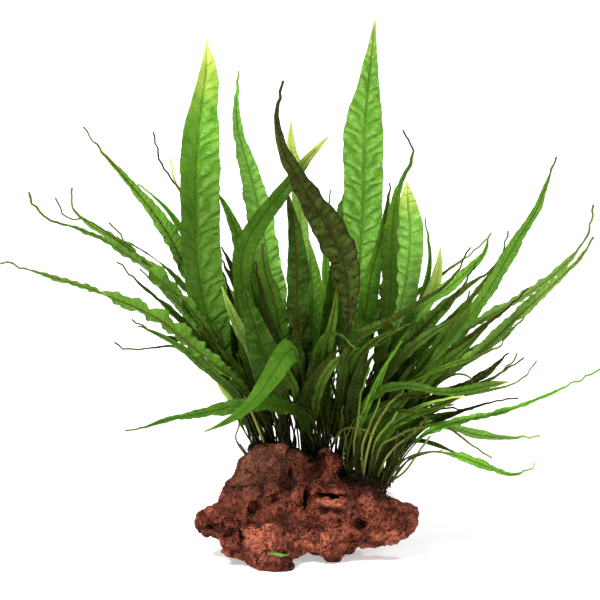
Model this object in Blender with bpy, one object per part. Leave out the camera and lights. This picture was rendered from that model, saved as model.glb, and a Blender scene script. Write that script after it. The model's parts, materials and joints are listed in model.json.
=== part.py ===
"""A java fern growing on a lump of lava stone.

The creeping stem lies along the top and back of the stone, wiry roots hold it there, and about fifty
fronds rise from it. Lengths are written in millimetres and turned into metres as they are used.
"""

import math
from collections import namedtuple
from itertools import product

import bmesh
import bpy
from mathutils import Matrix, Quaternion, Vector, noise
from mathutils.bvhtree import BVHTree

MM = 0.001
GAP = 0.35

# The plant is laid out as it looks from the front, from a little above. A place is read across and up on
# the upright sheet through the middle of the stone, and then set back along its line of sight.
EYE_DISTANCE = 2000
EYE_TILT = math.radians(10)
AIM = Vector((-4, 0, 133))
FORWARD = Vector((0, math.cos(EYE_TILT), -math.sin(EYE_TILT)))
RISE = Vector((0, math.sin(EYE_TILT), math.cos(EYE_TILT)))
EYE = AIM - FORWARD * EYE_DISTANCE

# Lava stone
STONE_GRAIN = 1.3
STONE_FACES = 2750
FLOOR_BLOCK = 40

# Creeping stem, roots and fronds
STEM_RADIUS = 3.0
STEM_STEP = 3.6
ROOT_RADIUS = 0.8
STALK = 1.5
RIB = 1.2
FOOT_RISE = 3.0
BLADE_RING = ("edge", "rib", "edge", "rib")
STATIONS = 15
CLEARANCE = 0.5

COLOURS = {
    "lava": ((0.30, 0.085, 0.055), 0.95),
    "rhizome": ((0.06, 0.055, 0.02), 0.8),
    "root": ((0.045, 0.03, 0.018), 0.85),
    "frond_green": ((0.075, 0.24, 0.035), 0.45),
    "frond_bright": ((0.10, 0.36, 0.03), 0.4),
    "frond_dark": ((0.035, 0.13, 0.015), 0.5),
    "frond_lime": ((0.42, 0.62, 0.08), 0.45),
    "frond_old": ((0.07, 0.065, 0.02), 0.6),
}

# Centre and radii of each lump of the stone
LUMPS = [
    ((-18, 5, 36), (21, 20, 23)),
    ((-27, 2, 30), (18, 17, 17)),
    ((-43, -2, 20), (15, 13, 10.5)),
    ((-33, -8, 14), (15, 14, 12)),
    ((-20, -13, 12), (16, 15, 15)),
    ((-17, -20, 3), (11, 9, 8)),
    ((0, 4, 22), (27, 22, 24)),
    ((9, 8, 45), (9, 10, 10)),
    ((12, -8, 27), (17, 14, 14)),
    ((9, -5, 12), (13, 13, 13)),
    ((38, 2, 20), (19, 14, 12)),
    ((49, 3, 22), (8, 9.5, 8)),
    ((27, 2, 30), (13, 11, 9)),
    ((31, -3, 16), (15, 13, 10.5)),
    ((-5, 17, 20), (29, 16, 26)),
    ((17, 15, 14), (15, 13, 17)),
]

# Hollows in the stone's face: across, up, half width, half height, depth
HOLLOWS = [
    (-10, 41, 3.5, 8, 7),
    (11.5, 33, 8.5, 1.9, 6),
    (-1, 31, 2.2, 6.5, 6),
    (-27, 25, 3, 4.5, 5),
    (-16, 30.5, 3, 2.5, 3),
    (-37, 12, 6, 4, 5),
    (-46, 17, 5, 1.8, 3),
    (25, 19, 5, 2.2, 4),
    (23, 12, 4, 2.5, 4),
    (3, 55, 2.4, 6, 4),
    (21, 44, 4, 4, 5),
    (-32, 36.5, 12, 1.3, 2.2),
    (1.5, 0.2, 7, 2.6, 9),
]

# Creeping stem: name and its run over the stone, as points from above (x, y)
STEM_RUNS = [
    ("rhizome", [(-29, 16), (-19, 20), (-7, 20), (4, 18), (14, 18), (24, 15), (35, 12)]),
    ("rhizome_front_branch", [(19, 8), (24, 5), (29, 3), (34, 2), (39, 1)]),
    ("rhizome_back_branch", [(-22, 26), (-11, 28.5), (1, 28.5), (12, 27), (21, 25)]),
]

# Roots: name, the stem that it leaves, how far along, and its way down from there (across, down)
ROOT_RUNS = [
    ("root_back_left", 2, 0.08, [(-2, 8), (1, 15), (-3, 22)]),
    ("root_back_middle", 2, 0.50, [(2, 8), (-2, 14), (1, 21)]),
    ("root_back_right", 2, 0.92, [(1, 7), (-2, 13), (2, 19)]),
    ("root_right_end", 0, 0.97, [(3, 6), (6, 11), (5, 17)]),
]

# The scrap of leaf on the stone's front foot, as seen from the front (across, up)
SCRAP_RUN = [(-19, 4.6), (-16.5, 4.2), (-14, 3.4), (-11.5, 2.9), (-9.5, 3.2)]
SCRAP_WIDTH = 2.4

Frond = namedtuple("Frond", "kind stem share side width shape face fold route")

# A frond: its kind, the stem that it grows from, how far along it and at what angle, the blade's width, its
# shape (end of the stalk, first and last of the full width, as shares of the length, then how hollow the
# tip is), how it is turned at foot and tip, how far its halves fold up, and its route (across, up, depth).
FRONDS = [
    Frond("frond_bright", 0, 0.06, -20, 19.5, (0.16, 0.42, 0.74, 0.6), (12, 8), 14,
          [(-24, 68, 4), (-37, 91, -4), (-48, 121, -12), (-53.5, 150, -15), (-54.5, 181, -15), (-54, 205, -13),
           (-52.5, 225, -12), (-50.5, 243, -10), (-50.8, 260, -9)]),
    Frond("frond_bright", 0, 0.70, -15, 19.5, (0.30, 0.60, 0.77, 1.0), (5, 0), 9,
          [(20, 68, 10), (22, 95, 5), (23.5, 125, 1), (26, 155, -3), (27.5, 185, -5), (28, 215, -6),
           (30.5, 243, -5), (33.5, 270, -3)]),
    Frond("frond_old", 0, 0.60, -45, 16, (0.25, 0.55, 0.64, 1.8), (0, 10), 12,
          [(16, 70, -2), (18, 90, -14), (19.5, 115, -22), (20, 138, -26), (15, 158, -28), (5, 175, -30),
           (-4, 190, -31), (-12, 205, -31), (-15.5, 220, -30), (-14.5, 233, -29), (-12.5, 240, -28)]),
    Frond("frond_green", 0, 0.37, 20, 13.5, (0.18, 0.46, 0.64, 1.5), (-10, -20), 12,
          [(-4, 66, 18), (-9, 91, 20), (-14, 121, 20), (-19, 146, 18), (-23, 169, 15), (-28, 191, 12),
           (-34, 212, 8), (-36, 226, 6), (-34.5, 245, 4)]),
    Frond("frond_green", 0, 0.30, -40, 10.5, (0.14, 0.34, 0.66, 1.0), (10, 0), 10,
          [(-9, 67, 4), (-16, 84, -3), (-21, 101, -9), (-27, 121, -14), (-32.5, 139, -17), (-32, 155, -18),
           (-23, 172, -18), (-11.5, 186, -17), (-1.5, 200, -16), (9.5, 212, -14)]),
    Frond("frond_green", 0, 0.86, -30, 10, (0.20, 0.45, 0.70, 2.0), (-40, -35), 18,
          [(33, 71, 0), (36, 96, -4), (40, 121, -8), (41.5, 141, -10), (42, 161, -11), (43.5, 178, -12),
           (47, 191, -13), (51.5, 200, -13), (53, 207, -13), (51, 213, -12), (48, 215.5, -11)]),
    Frond("frond_lime", 0, 0.93, 15, 14, (0.25, 0.50, 0.84, 0.6), (0, 0), 8,
          [(35, 81, 14), (41, 106, 13), (46, 126, 12), (49.5, 146, 11), (51, 163, 10), (50, 178, 9),
           (49.5, 189.5, 8)]),
    Frond("frond_lime", 0, 0.97, 45, 6.5, (0.30, 0.60, 0.85, 0.7), (0, 10), 8,
          [(34, 60, 16), (38.5, 81, 18), (48.5, 106, 22), (58.5, 128, 25), (64.5, 143, 26), (66, 156.5, 26)]),
    Frond("frond_green", 0, 0.66, 30, 12, (0.25, 0.50, 0.80, 0.8), (20, 20), 10,
          [(19, 81, 24), (18.5, 111, 27), (18, 136, 28), (16.5, 156, 28), (16.5, 168, 27), (19, 181, 26),
           (22, 191, 25)]),
    Frond("frond_green", 0, 0.78, 25, 10, (0.30, 0.55, 0.70, 1.3), (-20, -10), 10,
          [(25, 66, 18), (27, 91, 20), (29, 121, 21), (32, 143, 21), (36, 158, 20), (39, 173, 19),
           (41, 189, 18)]),
    Frond("frond_lime", 2, 0.45, -20, 7.5, (0.30, 0.55, 0.85, 0.8), (10, 10), 8,
          [(-3, 70, 28), (-3, 91, 31), (-2.5, 121, 33), (-3, 151, 33), (-4, 176, 32), (-6, 196, 30),
           (-8.5, 208, 29), (-8.5, 220, 28)]),
    Frond("frond_dark", 0, 0.45, -25, 11.5, (0.20, 0.42, 0.70, 1.0), (10, 5), 10,
          [(0, 70, 8), (-2, 88, 2), (-4, 111, -4), (-5, 136, -6), (-5.5, 156, -7), (-8, 173, -8),
           (-11, 187, -8)]),
    Frond("frond_green", 0, 0.08, 25, 10, (0.18, 0.45, 0.62, 1.5), (30, 25), 15,
          [(-26, 68, 16), (-32, 84, 13), (-40, 106, 7), (-50, 128, 0), (-61, 148, -6), (-72, 168, -10),
           (-83, 182, -14), (-93, 194, -16), (-103, 205, -18), (-112, 217, -20)]),
    Frond("frond_green", 0, 0.02, -40, 8.5, (0.20, 0.42, 0.60, 1.6), (40, 60), 20,
          [(-29, 68, 5), (-37, 88, -3), (-47, 107, -10), (-58, 124, -18), (-70, 137, -24), (-84, 149, -30),
           (-99, 159, -35), (-111, 165, -38), (-122, 169, -41), (-131, 172, -43), (-137, 178, -44),
           (-140, 184, -45)]),
    Frond("frond_green", 2, 0.02, -10, 7, (0.25, 0.50, 0.72, 1.4), (50, 40), 14,
          [(-28, 70, 22), (-37, 88, 18), (-48, 108, 15), (-60, 127, 12), (-73, 142, 10), (-86, 153, 8),
           (-98, 162, 6), (-108, 168, 4), (-115, 174, 3), (-120, 180, 2), (-121, 184, 1), (-118, 187, 0)]),
    Frond("frond_dark", 2, 0.10, 15, 6.5, (0.25, 0.45, 0.60, 1.4), (55, 60), 16,
          [(-27, 70, 30), (-36, 90, 31), (-46, 111, 32), (-57, 130, 34), (-67, 143, 36), (-77, 152, 38),
           (-87, 158, 40), (-95, 162, 41)]),
    Frond("frond_green", 0, 0.14, -55, 11.5, (0.12, 0.30, 0.44, 1.0), (20, 62), 22,
          [(-22, 67, 3), (-28, 80, -6), (-37, 91, -17), (-47, 99, -26), (-57, 107, -33), (-67, 116, -39),
           (-79, 124, -45), (-93, 130, -50), (-108, 136, -55), (-124, 141, -59), (-139, 146, -62),
           (-153, 150, -64)]),
    Frond("frond_lime", 0, 0.01, 40, 6.5, (0.30, 0.55, 0.85, 0.6), (10, 0), 8,
          [(-29, 72, 20), (-35, 90, 22), (-43, 102, 24), (-51, 109, 25), (-59.5, 115, 26)]),
    Frond("frond_bright", 0, 0.50, -55, 10.5, (0.08, 0.30, 0.50, 1.2), (35, 40), 10,
          [(2, 64, 2), (-2.5, 72, -9), (-10, 77, -22), (-19, 79, -32), (-29, 78.5, -40), (-40, 77, -46),
           (-54, 74, -52), (-69, 71.5, -57), (-81.5, 67.5, -61), (-91, 65.5, -64)]),
    Frond("frond_bright", 0, 0.50, -30, 11, (0.45, 0.54, 0.60, 1.0), (0, -15), 6,
          [(1, 70, 0), (-1, 84, -12), (-4, 98, -26), (-8, 107, -38), (-14, 99.5, -46), (-20.5, 89.5, -51),
           (-27.5, 80.5, -54), (-35, 73.5, -57), (-43, 69, -59), (-51, 65.5, -61)]),
    Frond("frond_lime", 2, 0.0, 30, 6.5, (0.50, 0.68, 0.85, 0.7), (0, 0), 8,
          [(-37.5, 47, 22), (-36, 61, 18), (-34, 70, 14), (-36, 80, 11), (-41, 87, 9), (-46.5, 94, 8)]),
    Frond("frond_green", 2, 0.26, -5, 10.5, (0.25, 0.50, 0.72, 1.0), (-15, -15), 12,
          [(-14, 70, 27), (-18, 91, 30), (-24, 121, 32), (-29, 143, 31), (-34, 161, 30), (-39, 173, 29),
           (-45, 185, 28)]),
    Frond("frond_dark", 0, 0.24, 10, 8, (0.25, 0.50, 0.70, 1.1), (20, 20), 10,
          [(-15, 66, 14), (-23, 96, 12), (-30, 121, 9), (-34, 136, 7), (-38, 147, 5), (-43, 157, 4)]),
    Frond("frond_lime", 0, 0.22, -50, 6, (0.30, 0.50, 0.80, 0.9), (10, 10), 10,
          [(-17, 66, 2), (-23, 88, -7), (-28, 105, -12), (-34, 116, -14), (-39, 127, -15), (-43, 137, -15)]),
    Frond("frond_green", 0, 0.40, -10, 9, (0.36, 0.52, 0.80, 0.9), (10, 10), 10,
          [(-8, 68, 10), (-12, 91, 6), (-14, 113, 2), (-18, 132, -1), (-22, 146, -3), (-23, 159, -4)]),
    Frond("frond_green", 0, 0.56, 20, 9.5, (0.25, 0.50, 0.75, 0.9), (0, 0), 10,
          [(7, 68, 20), (8.5, 84, 22), (9.5, 103, 24), (11, 119, 25), (12, 132, 25), (11, 145, 24)]),
    Frond("frond_bright", 0, 0.52, -5, 7.5, (0.20, 0.42, 0.58, 1.0), (50, 65), 8,
          [(6, 66, 10), (5.5, 80, 0), (4, 95, -10), (5, 106, -17), (9, 113, -24), (15.5, 114, -31),
           (22.5, 107.5, -38)]),
    Frond("frond_dark", 1, 0.02, 10, 12, (0.15, 0.40, 0.80, 0.8), (0, 0), 8,
          [(19, 62, 2), (21, 84, -3), (24, 101, -6), (25, 114, -8), (23, 123, -8), (21, 131, -8)]),
    Frond("frond_dark", 0, 0.66, -5, 6.5, (0.20, 0.38, 0.60, 1.5), (-35, -40), 14,
          [(15, 66, 10), (16, 81, -4), (18, 98, -18), (22, 110, -22), (31, 116, -25), (43.5, 122, -27),
           (56, 130, -29), (66, 136, -30), (73.5, 144, -31), (77.5, 150, -31), (80.5, 157, -31)]),
    Frond("frond_green", 0, 0.88, 35, 6.5, (0.30, 0.50, 0.62, 1.6), (-45, -45), 14,
          [(34, 66, 12), (38, 86, 15), (42, 106, 18), (47, 122, 21), (53, 132, 24), (61, 139, 27),
           (70, 146, 30), (80, 153, 33), (89, 161, 36)]),
    Frond("frond_bright", 0, 0.91, -10, 7.5, (0.30, 0.50, 0.80, 1.2), (-40, -35), 14,
          [(32, 58, 6), (36, 78, 6), (42, 101, 8), (49, 117, 10), (57, 127, 11), (66, 134, 12), (76, 142, 13),
           (84, 150, 14), (90, 157, 14), (91, 164, 14)]),
    Frond("frond_dark", 1, 0.30, -20, 9, (0.14, 0.35, 0.60, 1.5), (-20, -25), 14,
          [(26, 58, -4), (31, 77, -10), (38, 94, -15), (47, 107, -19), (57, 117, -23), (67, 127, -26),
           (77, 136, -29), (86, 142, -32), (96, 150, -34)]),
    Frond("frond_bright", 1, 0.72, -20, 7.6, (0.30, 0.50, 0.70, 1.0), (-25, -30), 14,
          [(36, 58, -6), (43, 73, -14), (52, 88, -23), (64, 103, -31), (75, 116, -37), (83.5, 126, -41),
           (90, 135, -44), (97, 147, -48), (105, 161, -51), (112, 172, -53), (117.5, 182, -55),
           (119.5, 190, -56), (120, 197, -57), (122, 201, -57), (124, 202, -57)]),
    Frond("frond_green", 0, 0.95, 70, 6.5, (0.30, 0.45, 0.60, 1.5), (-50, -50), 14,
          [(35, 56, 18), (40, 78, 25), (49, 98, 31), (61, 113, 37), (72, 123, 42), (80, 131, 45),
           (87, 136, 47), (94, 140, 49)]),
    Frond("frond_green", 0, 0.99, 20, 7, (0.25, 0.50, 0.70, 1.2), (-50, -50), 18,
          [(37, 56, 9), (45, 77, 13), (57, 96, 20), (73, 111, 28), (88, 121, 35), (102, 129, 41),
           (116, 138, 46), (127, 147, 51), (134, 155, 54), (139, 162, 56), (141.5, 169, 58), (142.5, 178, 60)]),
    Frond("frond_green", 1, 0.94, 10, 6.8, (0.25, 0.40, 0.70, 1.0), (-35, -35), 16,
          [(40, 54, -3), (48, 71, -7), (60, 87, -12), (71, 96, -17), (81, 102, -21), (90, 109, -25),
           (98.5, 117, -28), (107, 125, -31), (116, 133, -34), (126, 142, -37), (134, 150, -39),
           (140, 156, -40), (142.5, 162, -41)]),
    Frond("frond_old", 1, 0.98, 40, 5, (0.35, 0.60, 0.80, 1.0), (-30, -30), 12,
          [(41, 52, 4), (49, 69, 9), (61, 81, 14), (73, 86, 17), (81, 89, 19), (88.5, 94, 20), (94.5, 99, 21),
           (100, 104, 22)]),
    Frond("frond_bright", 1, 0.06, -45, 4.8, (0.24, 0.42, 0.95, 0.4), (-30, -35), 10,
          [(20, 53, -7), (22, 63, -11), (25, 72, -16), (30, 81, -22), (37, 86, -29), (46, 88, -36),
           (56, 87.5, -42), (66, 85, -47), (77, 85.5, -51), (88.5, 88, -55), (99.5, 90, -58)]),
    Frond("frond_green", 1, 0.88, -5, 5.6, (0.25, 0.42, 0.56, 1.8), (-40, -40), 14,
          [(38, 54, -4), (46, 69, -6), (58, 79, -9), (71, 83, -12), (83.5, 85, -15), (96, 87, -17),
           (104.5, 90, -18), (110, 94.5, -19), (114, 100, -20)]),
    Frond("frond_bright", 1, 0.96, -40, 4.8, (0.18, 0.36, 0.50, 1.2), (-40, -45), 16,
          [(43, 50, -9), (52, 59, -17), (63, 66, -25), (76, 70.5, -33), (91, 73.5, -39), (106, 78, -45),
           (121, 84, -50), (133.5, 90, -54), (146, 96, -57)]),
    Frond("frond_bright", 0, 1.0, -25, 5, (0.38, 0.58, 0.72, 1.6), (-20, -20), 10,
          [(42, 56, 7), (50, 66, 9), (59, 70, 10), (70, 68, 11), (80, 65, 12), (90, 63, 13), (102, 62, 14),
           (115.5, 63, 15)]),
    Frond("frond_bright", 1, 1.0, -70, 5.0, (0.40, 0.60, 0.74, 1.4), (-35, -40), 12,
          [(43, 44, -7), (48, 51, -12), (60, 55, -20), (71, 54, -26), (81, 51, -31), (91, 47, -36),
           (99.5, 44, -40), (106, 44, -43), (113.5, 49, -46)]),
    Frond("frond_green", 1, 0.62, -50, 6, (0.25, 0.45, 0.70, 1.2), (-25, -30), 12,
          [(32, 51, -10), (36, 60, -15), (44, 69, -20), (53, 74, -24), (62, 76, -28), (70, 79, -31)]),
    Frond("frond_green", 1, 0.38, -50, 7.5, (0.22, 0.42, 0.62, 1.4), (-25, -30), 12,
          [(26, 55, -10), (30, 74, -16), (35, 88, -21), (43, 99, -26), (53, 108, -30), (64, 116, -34),
           (73, 121, -37), (79, 127, -38), (80.5, 135, -39)]),
    Frond("frond_green", 2, 0.34, 40, 12, (0.16, 0.40, 0.62, 1.2), (0, 0), 12,
          [(-12, 66, 40), (-18, 92, 54), (-28, 116, 68), (-40, 134, 82), (-52, 144, 96)]),
    Frond("frond_bright", 2, 0.55, 45, 13, (0.16, 0.40, 0.64, 1.1), (0, 0), 12,
          [(1, 72, 42), (2, 102, 56), (3, 130, 70), (1, 152, 84), (-2, 167, 98)]),
    Frond("frond_dark", 2, 0.80, 40, 11, (0.16, 0.40, 0.62, 1.2), (0, 0), 12,
          [(13, 66, 40), (20, 94, 56), (29, 117, 72), (40, 132, 88), (52, 140, 102)]),
    Frond("frond_green", 2, 0.16, 60, 10, (0.18, 0.42, 0.60, 1.4), (30, 30), 16,
          [(-22, 64, 38), (-36, 90, 54), (-54, 116, 70), (-70, 134, 86), (-84, 146, 100)]),
    Frond("frond_green", 2, 1.0, 50, 10, (0.18, 0.42, 0.60, 1.4), (-30, -30), 16,
          [(26, 60, 36), (40, 80, 52), (56, 93, 68), (74, 101, 84), (92, 110, 98)]),
    Frond("frond_green", 0, 0.05, -65, 6.5, (0.25, 0.45, 0.62, 1.4), (30, 50), 14,
          [(-28, 67, 6), (-34, 82, -8), (-43, 96, -20), (-54, 106, -29), (-65, 111, -35), (-76, 114, -39),
           (-87.5, 121, -42)]),
    Frond("frond_bright", 2, 0.68, 75, 10, (0.14, 0.38, 0.56, 1.3), (20, 30), 10,
          [(7, 60, 46), (9, 76, 64), (12, 88, 82), (16, 92, 98), (21, 88, 112)]),
]


def place(across, up, depth):
    """The point, in millimetres, that shows at (across, up) from the front and lies at this depth."""
    on_sheet = AIM + Vector((across - AIM.x, 0, 0)) + RISE * (up - AIM.dot(RISE))
    ray = on_sheet - EYE
    return EYE + ray * ((depth - EYE.y) / ray.y)


def finish(name, bm, kind, smooth=True):
    """The bmesh, which is in millimetres, as a named object in metres with its material."""
    bmesh.ops.recalc_face_normals(bm, faces=bm.faces)
    mesh = bpy.data.meshes.new(name)
    bm.to_mesh(mesh)
    bm.free()
    mesh.transform(Matrix.Scale(MM, 4))
    if smooth:
        mesh.shade_smooth()
    mesh.materials.append(material(kind))
    made = bpy.data.objects.new(name, mesh)
    bpy.context.scene.collection.objects.link(made)
    return made


def material(kind):
    """The Principled material of this kind, made once."""
    found = bpy.data.materials.get(kind)
    if found:
        return found
    colour, roughness = COLOURS[kind]
    made = bpy.data.materials.new(kind)
    made.use_nodes = True
    shader = made.node_tree.nodes["Principled BSDF"]
    shader.inputs["Base Color"].default_value = (*colour, 1)
    shader.inputs["Roughness"].default_value = roughness
    return made


def applied(obj):
    """The object's mesh with its modifiers applied, as a new bmesh. The object is removed."""
    graph = bpy.context.evaluated_depsgraph_get()
    bm = bmesh.new()
    bm.from_object(obj, graph)
    bpy.data.objects.remove(obj)
    return bm


def helper(name, bm):
    """The bmesh as a plain object for modifiers to work on."""
    mesh = bpy.data.meshes.new(name)
    bm.to_mesh(mesh)
    bm.free()
    made = bpy.data.objects.new(name, mesh)
    bpy.context.scene.collection.objects.link(made)
    return made


def crag(point):
    """How far the stone's skin stands out at a point: broad swells, flat breaks and a coarse grain."""
    swell = noise.noise(point / 21) * 2.4
    breaks = noise.voronoi(point / 13)[0]
    grain = noise.fractal(point / 6, 0.8, 2.1, 3)
    return swell + (breaks[1] - breaks[0]) * 2.6 - 1.0 + grain * 0.9


def hollow_depth(point, normal):
    """How deep the hollows in the stone's face go at a point that looks to the front."""
    if normal.y > 0.2:
        return 0
    ray = point - EYE
    seen = EYE + ray * (EYE_DISTANCE / ray.dot(FORWARD))
    across, up = seen.x, seen.dot(RISE)
    deepest = 0
    for x, v, half_width, half_height, depth in HOLLOWS:
        reach = math.hypot((across - x) / half_width, (up - v) / half_height)
        if reach < 1.25:
            deepest = max(deepest, depth * min(1, (1.25 - reach) / 0.6))
    return deepest


def stone():
    """The lava stone: its lumps run together, broken up, hollowed, and cut flat where it stands."""
    bm = bmesh.new()
    for centre, radii in LUMPS:
        shape = Matrix.Translation(centre) @ Matrix.Diagonal((*radii, 1))
        bmesh.ops.create_icosphere(bm, subdivisions=4, radius=1, matrix=shape)
    lumps = helper("lumps", bm)
    joined = lumps.modifiers.new("joined", "REMESH")
    joined.mode = "VOXEL"
    joined.voxel_size = STONE_GRAIN
    bm = applied(lumps)
    bmesh.ops.smooth_vert(bm, verts=bm.verts, factor=0.5, use_axis_x=True, use_axis_y=True, use_axis_z=True)
    bm.normal_update()
    moved = [v.co + v.normal * crag(v.co) for v in bm.verts]
    for vertex, crest in zip(bm.verts, moved):
        depth = hollow_depth(vertex.co, vertex.normal)
        vertex.co = crest + Vector((0, 0.9, 0)) * depth - vertex.normal * 0.2 * depth
    rough = helper("rough", bm)
    thin = rough.modifiers.new("thin", "DECIMATE")
    thin.ratio = STONE_FACES / (2 * len(rough.data.polygons))
    floor = bmesh.new()
    low = Matrix.Translation((0, 0, -FLOOR_BLOCK / 2)) @ Matrix.Diagonal((200, 200, FLOOR_BLOCK, 1))
    bmesh.ops.create_cube(floor, size=1, matrix=low)
    block = helper("floor_block", floor)
    cut = rough.modifiers.new("cut", "BOOLEAN")
    cut.operation = "DIFFERENCE"
    cut.object = block
    bm = applied(rough)
    bpy.data.objects.remove(block)
    bmesh.ops.triangulate(bm, faces=bm.faces)
    return bm


def tree_of(bm):
    """The bmesh's faces, ready to be asked what is near or crosses them."""
    bm.normal_update()
    return BVHTree.FromBMesh(bm)


def off_surface(tree, point, distance):
    """The point, moved straight away from the stone's skin until it is at least this far from it."""
    for _ in range(12):
        near, normal, _, apart = tree.find_nearest(point)
        inside = (point - near).dot(normal) < 0
        if not inside and apart >= distance:
            return point
        point = near + normal * (distance + 0.05)
    return point


def smooth_run(points, count):
    """Points at even steps on the smooth curve through these points."""
    ends = [points[0] * 2 - points[1], *points, points[-1] * 2 - points[-2]]
    dense = []
    for a, b, c, d in zip(ends, ends[1:], ends[2:], ends[3:]):
        for step in range(12):
            t = step / 12
            dense.append(0.5 * (2 * b + (c - a) * t + (2 * a - 5 * b + 4 * c - d) * t * t
                                + (3 * b - a - 3 * c + d) * t ** 3))
    dense.append(points[-1])
    lengths = [0]
    for a, b in zip(dense, dense[1:]):
        lengths.append(lengths[-1] + (b - a).length)
    made, at = [], 0
    for step in range(count):
        want = lengths[-1] * step / (count - 1)
        while at < len(dense) - 2 and lengths[at + 1] < want:
            at += 1
        share = (want - lengths[at]) / max(lengths[at + 1] - lengths[at], 1e-9)
        made.append(dense[at].lerp(dense[at + 1], min(share, 1)))
    return made


def tube(points, radii, sides):
    """A closed tube of this many sides along the points, with rounded-off ends."""
    bm = bmesh.new()
    rings = []
    across = Vector((0, 0, 1))
    for at, (point, radius) in enumerate(zip(points, radii)):
        along = (points[min(at + 1, len(points) - 1)] - points[max(at - 1, 0)]).normalized()
        across = (across - along * across.dot(along)).normalized()
        other = along.cross(across)
        turns = [2 * math.pi * side / sides for side in range(sides)]
        rings.append([bm.verts.new(point + (across * math.cos(a) + other * math.sin(a)) * radius) for a in turns])
    skin(bm, rings)
    return bm


def skin(bm, rings):
    """Faces between rings of vertices, and over both ends. A ring of one vertex is a point.

    The two faces of a blade are parted alike, each time from the edge to the rib, or where it twists one
    would pass through the other.
    """
    for near, far in zip(rings, rings[1:]):
        count = len(near)
        for side in range(count):
            after = (side + 1) % count
            if len(far) == 1:
                bm.faces.new((near[side], near[after], far[0]))
            elif count != len(BLADE_RING):
                bm.faces.new((near[side], near[after], far[after], far[side]))
            elif BLADE_RING[side] == "edge":
                bm.faces.new((near[side], near[after], far[after]))
                bm.faces.new((near[side], far[after], far[side]))
            else:
                bm.faces.new((near[side], near[after], far[side]))
                bm.faces.new((near[after], far[after], far[side]))
    bm.faces.new(rings[0])
    if len(rings[-1]) > 1:
        bm.faces.new(rings[-1])


def stem_line(run, rock):
    """The creeping stem's middle line, lying on the stone."""
    points = [Vector((x, y, 75)) for x, y in run]
    reach = sum((b - a).length for a, b in zip(points, points[1:]))
    settled = []
    for point in smooth_run(points, max(6, round(reach / STEM_STEP))):
        hit = rock.ray_cast(point, Vector((0, 0, -1)))[0] or Vector((point.x, point.y, 20))
        settled.append(hit + Vector((0, 0, STEM_RADIUS)))
    for _ in range(4):
        eased = [settled[0], *((a + b * 2 + c) / 4 for a, b, c in zip(settled, settled[1:], settled[2:])), settled[-1]]
        settled = [off_surface(rock, point, STEM_RADIUS + GAP) for point in eased]
    return settled


def scrap_solid(rock):
    """The scrap of leaf, a small flat blade just off the stone's skin."""
    bm = bmesh.new()
    rings = []
    for at, seen in enumerate(smooth_run([Vector((x, v, 0)) for x, v in SCRAP_RUN], 7)):
        aim = place(seen.x, seen.y, 0)
        hit, normal, _, _ = rock.ray_cast(EYE, (aim - EYE).normalized())
        middle = off_surface(rock, hit + normal * 0.9, 0.9)
        wide = Vector((0, 0, 1)) - normal * normal.z
        half = wide.normalized() * SCRAP_WIDTH * (0.5 - abs(at - 2.6) * 0.1)
        rings.append([bm.verts.new(middle + step) for step in (-half, -normal * 0.3, half, normal * 0.3)])
    skin(bm, rings)
    return bm


def root_line(line, share, run, rock):
    """A root's middle line: off the creeping stem's back, then down the stone."""
    reach = STEM_RADIUS + GAP + ROOT_RADIUS
    foot, out = side_of_stem(line, share, 95, reach)
    points = [foot, foot + out * 1.5]
    for across, down in run:
        start = Vector((foot.x + across, 60, foot.z - down))
        hit, normal, _, _ = rock.ray_cast(start, Vector((0, -1, 0)))
        points.append(hit + normal * (ROOT_RADIUS + GAP))
    clear = ROOT_RADIUS + GAP
    return [off_surface(rock, point, clear) for point in smooth_run(points, 16)]


def width_share(share, shape):
    """How much of its full width a blade has at a share of the frond's length."""
    stalk_end, full_from, full_to, tip = shape
    if share <= stalk_end:
        return 0
    if share < full_from:
        rise = (share - stalk_end) / (full_from - stalk_end)
        return rise * rise * (3 - 2 * rise)
    if share <= full_to:
        return 1
    return max(0, (1 - share) / (1 - full_to)) ** tip


def headings(points):
    """The way that a frond runs at each point, and the way that its upper face looks there.

    The tip looks to the front. Where the frond comes straight forward, its face keeps on as before, so
    that a frond which arches to the front shows its underside below the arch.
    """
    last = len(points) - 1
    found = []
    for at in reversed(range(last + 1)):
        along = (points[min(at + 1, last)] - points[max(at - 1, 0)]).normalized()
        sight = (EYE - points[at]).normalized()
        facing = sight - along * sight.dot(along)
        if found:
            before = found[-1][1]
            kept = (before - along * before.dot(along)).normalized()
            if facing.dot(kept) < 0:
                facing = -facing
            facing = facing * 2 * facing.length + kept * (1 - facing.length)
        found.append((along, facing.normalized()))
    return reversed(found)


def frond_solid(frond, points, spare=0):
    """A frond as a closed blade: each ring has two edges, and the rib's top and underside."""
    bm = bmesh.new()
    rings = []
    last = len(points) - 1
    for at, (point, (along, facing)) in enumerate(zip(points, headings(points))):
        share = at / last
        turn = frond.face[0] + (frond.face[1] - frond.face[0]) * share
        facing = Quaternion(along, math.radians(turn)) @ facing
        across = along.cross(facing)
        full = width_share(share, frond.shape)
        thin = 1 - 0.55 * share
        half = (max(STALK * thin, frond.width * full) + spare) / 2
        lift = (half - STALK / 2) * math.tan(math.radians(frond.fold)) * min(1, full * 3)
        rib = facing * (RIB * thin + spare) / 2
        if at == last:
            rings.append([bm.verts.new(point + along * 0.5)])
        else:
            rings.append([bm.verts.new(p) for p in (point - across * half + facing * lift, point - rib,
                                                    point + across * half + facing * lift, point + rib)])
    skin(bm, rings)
    return bm


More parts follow.
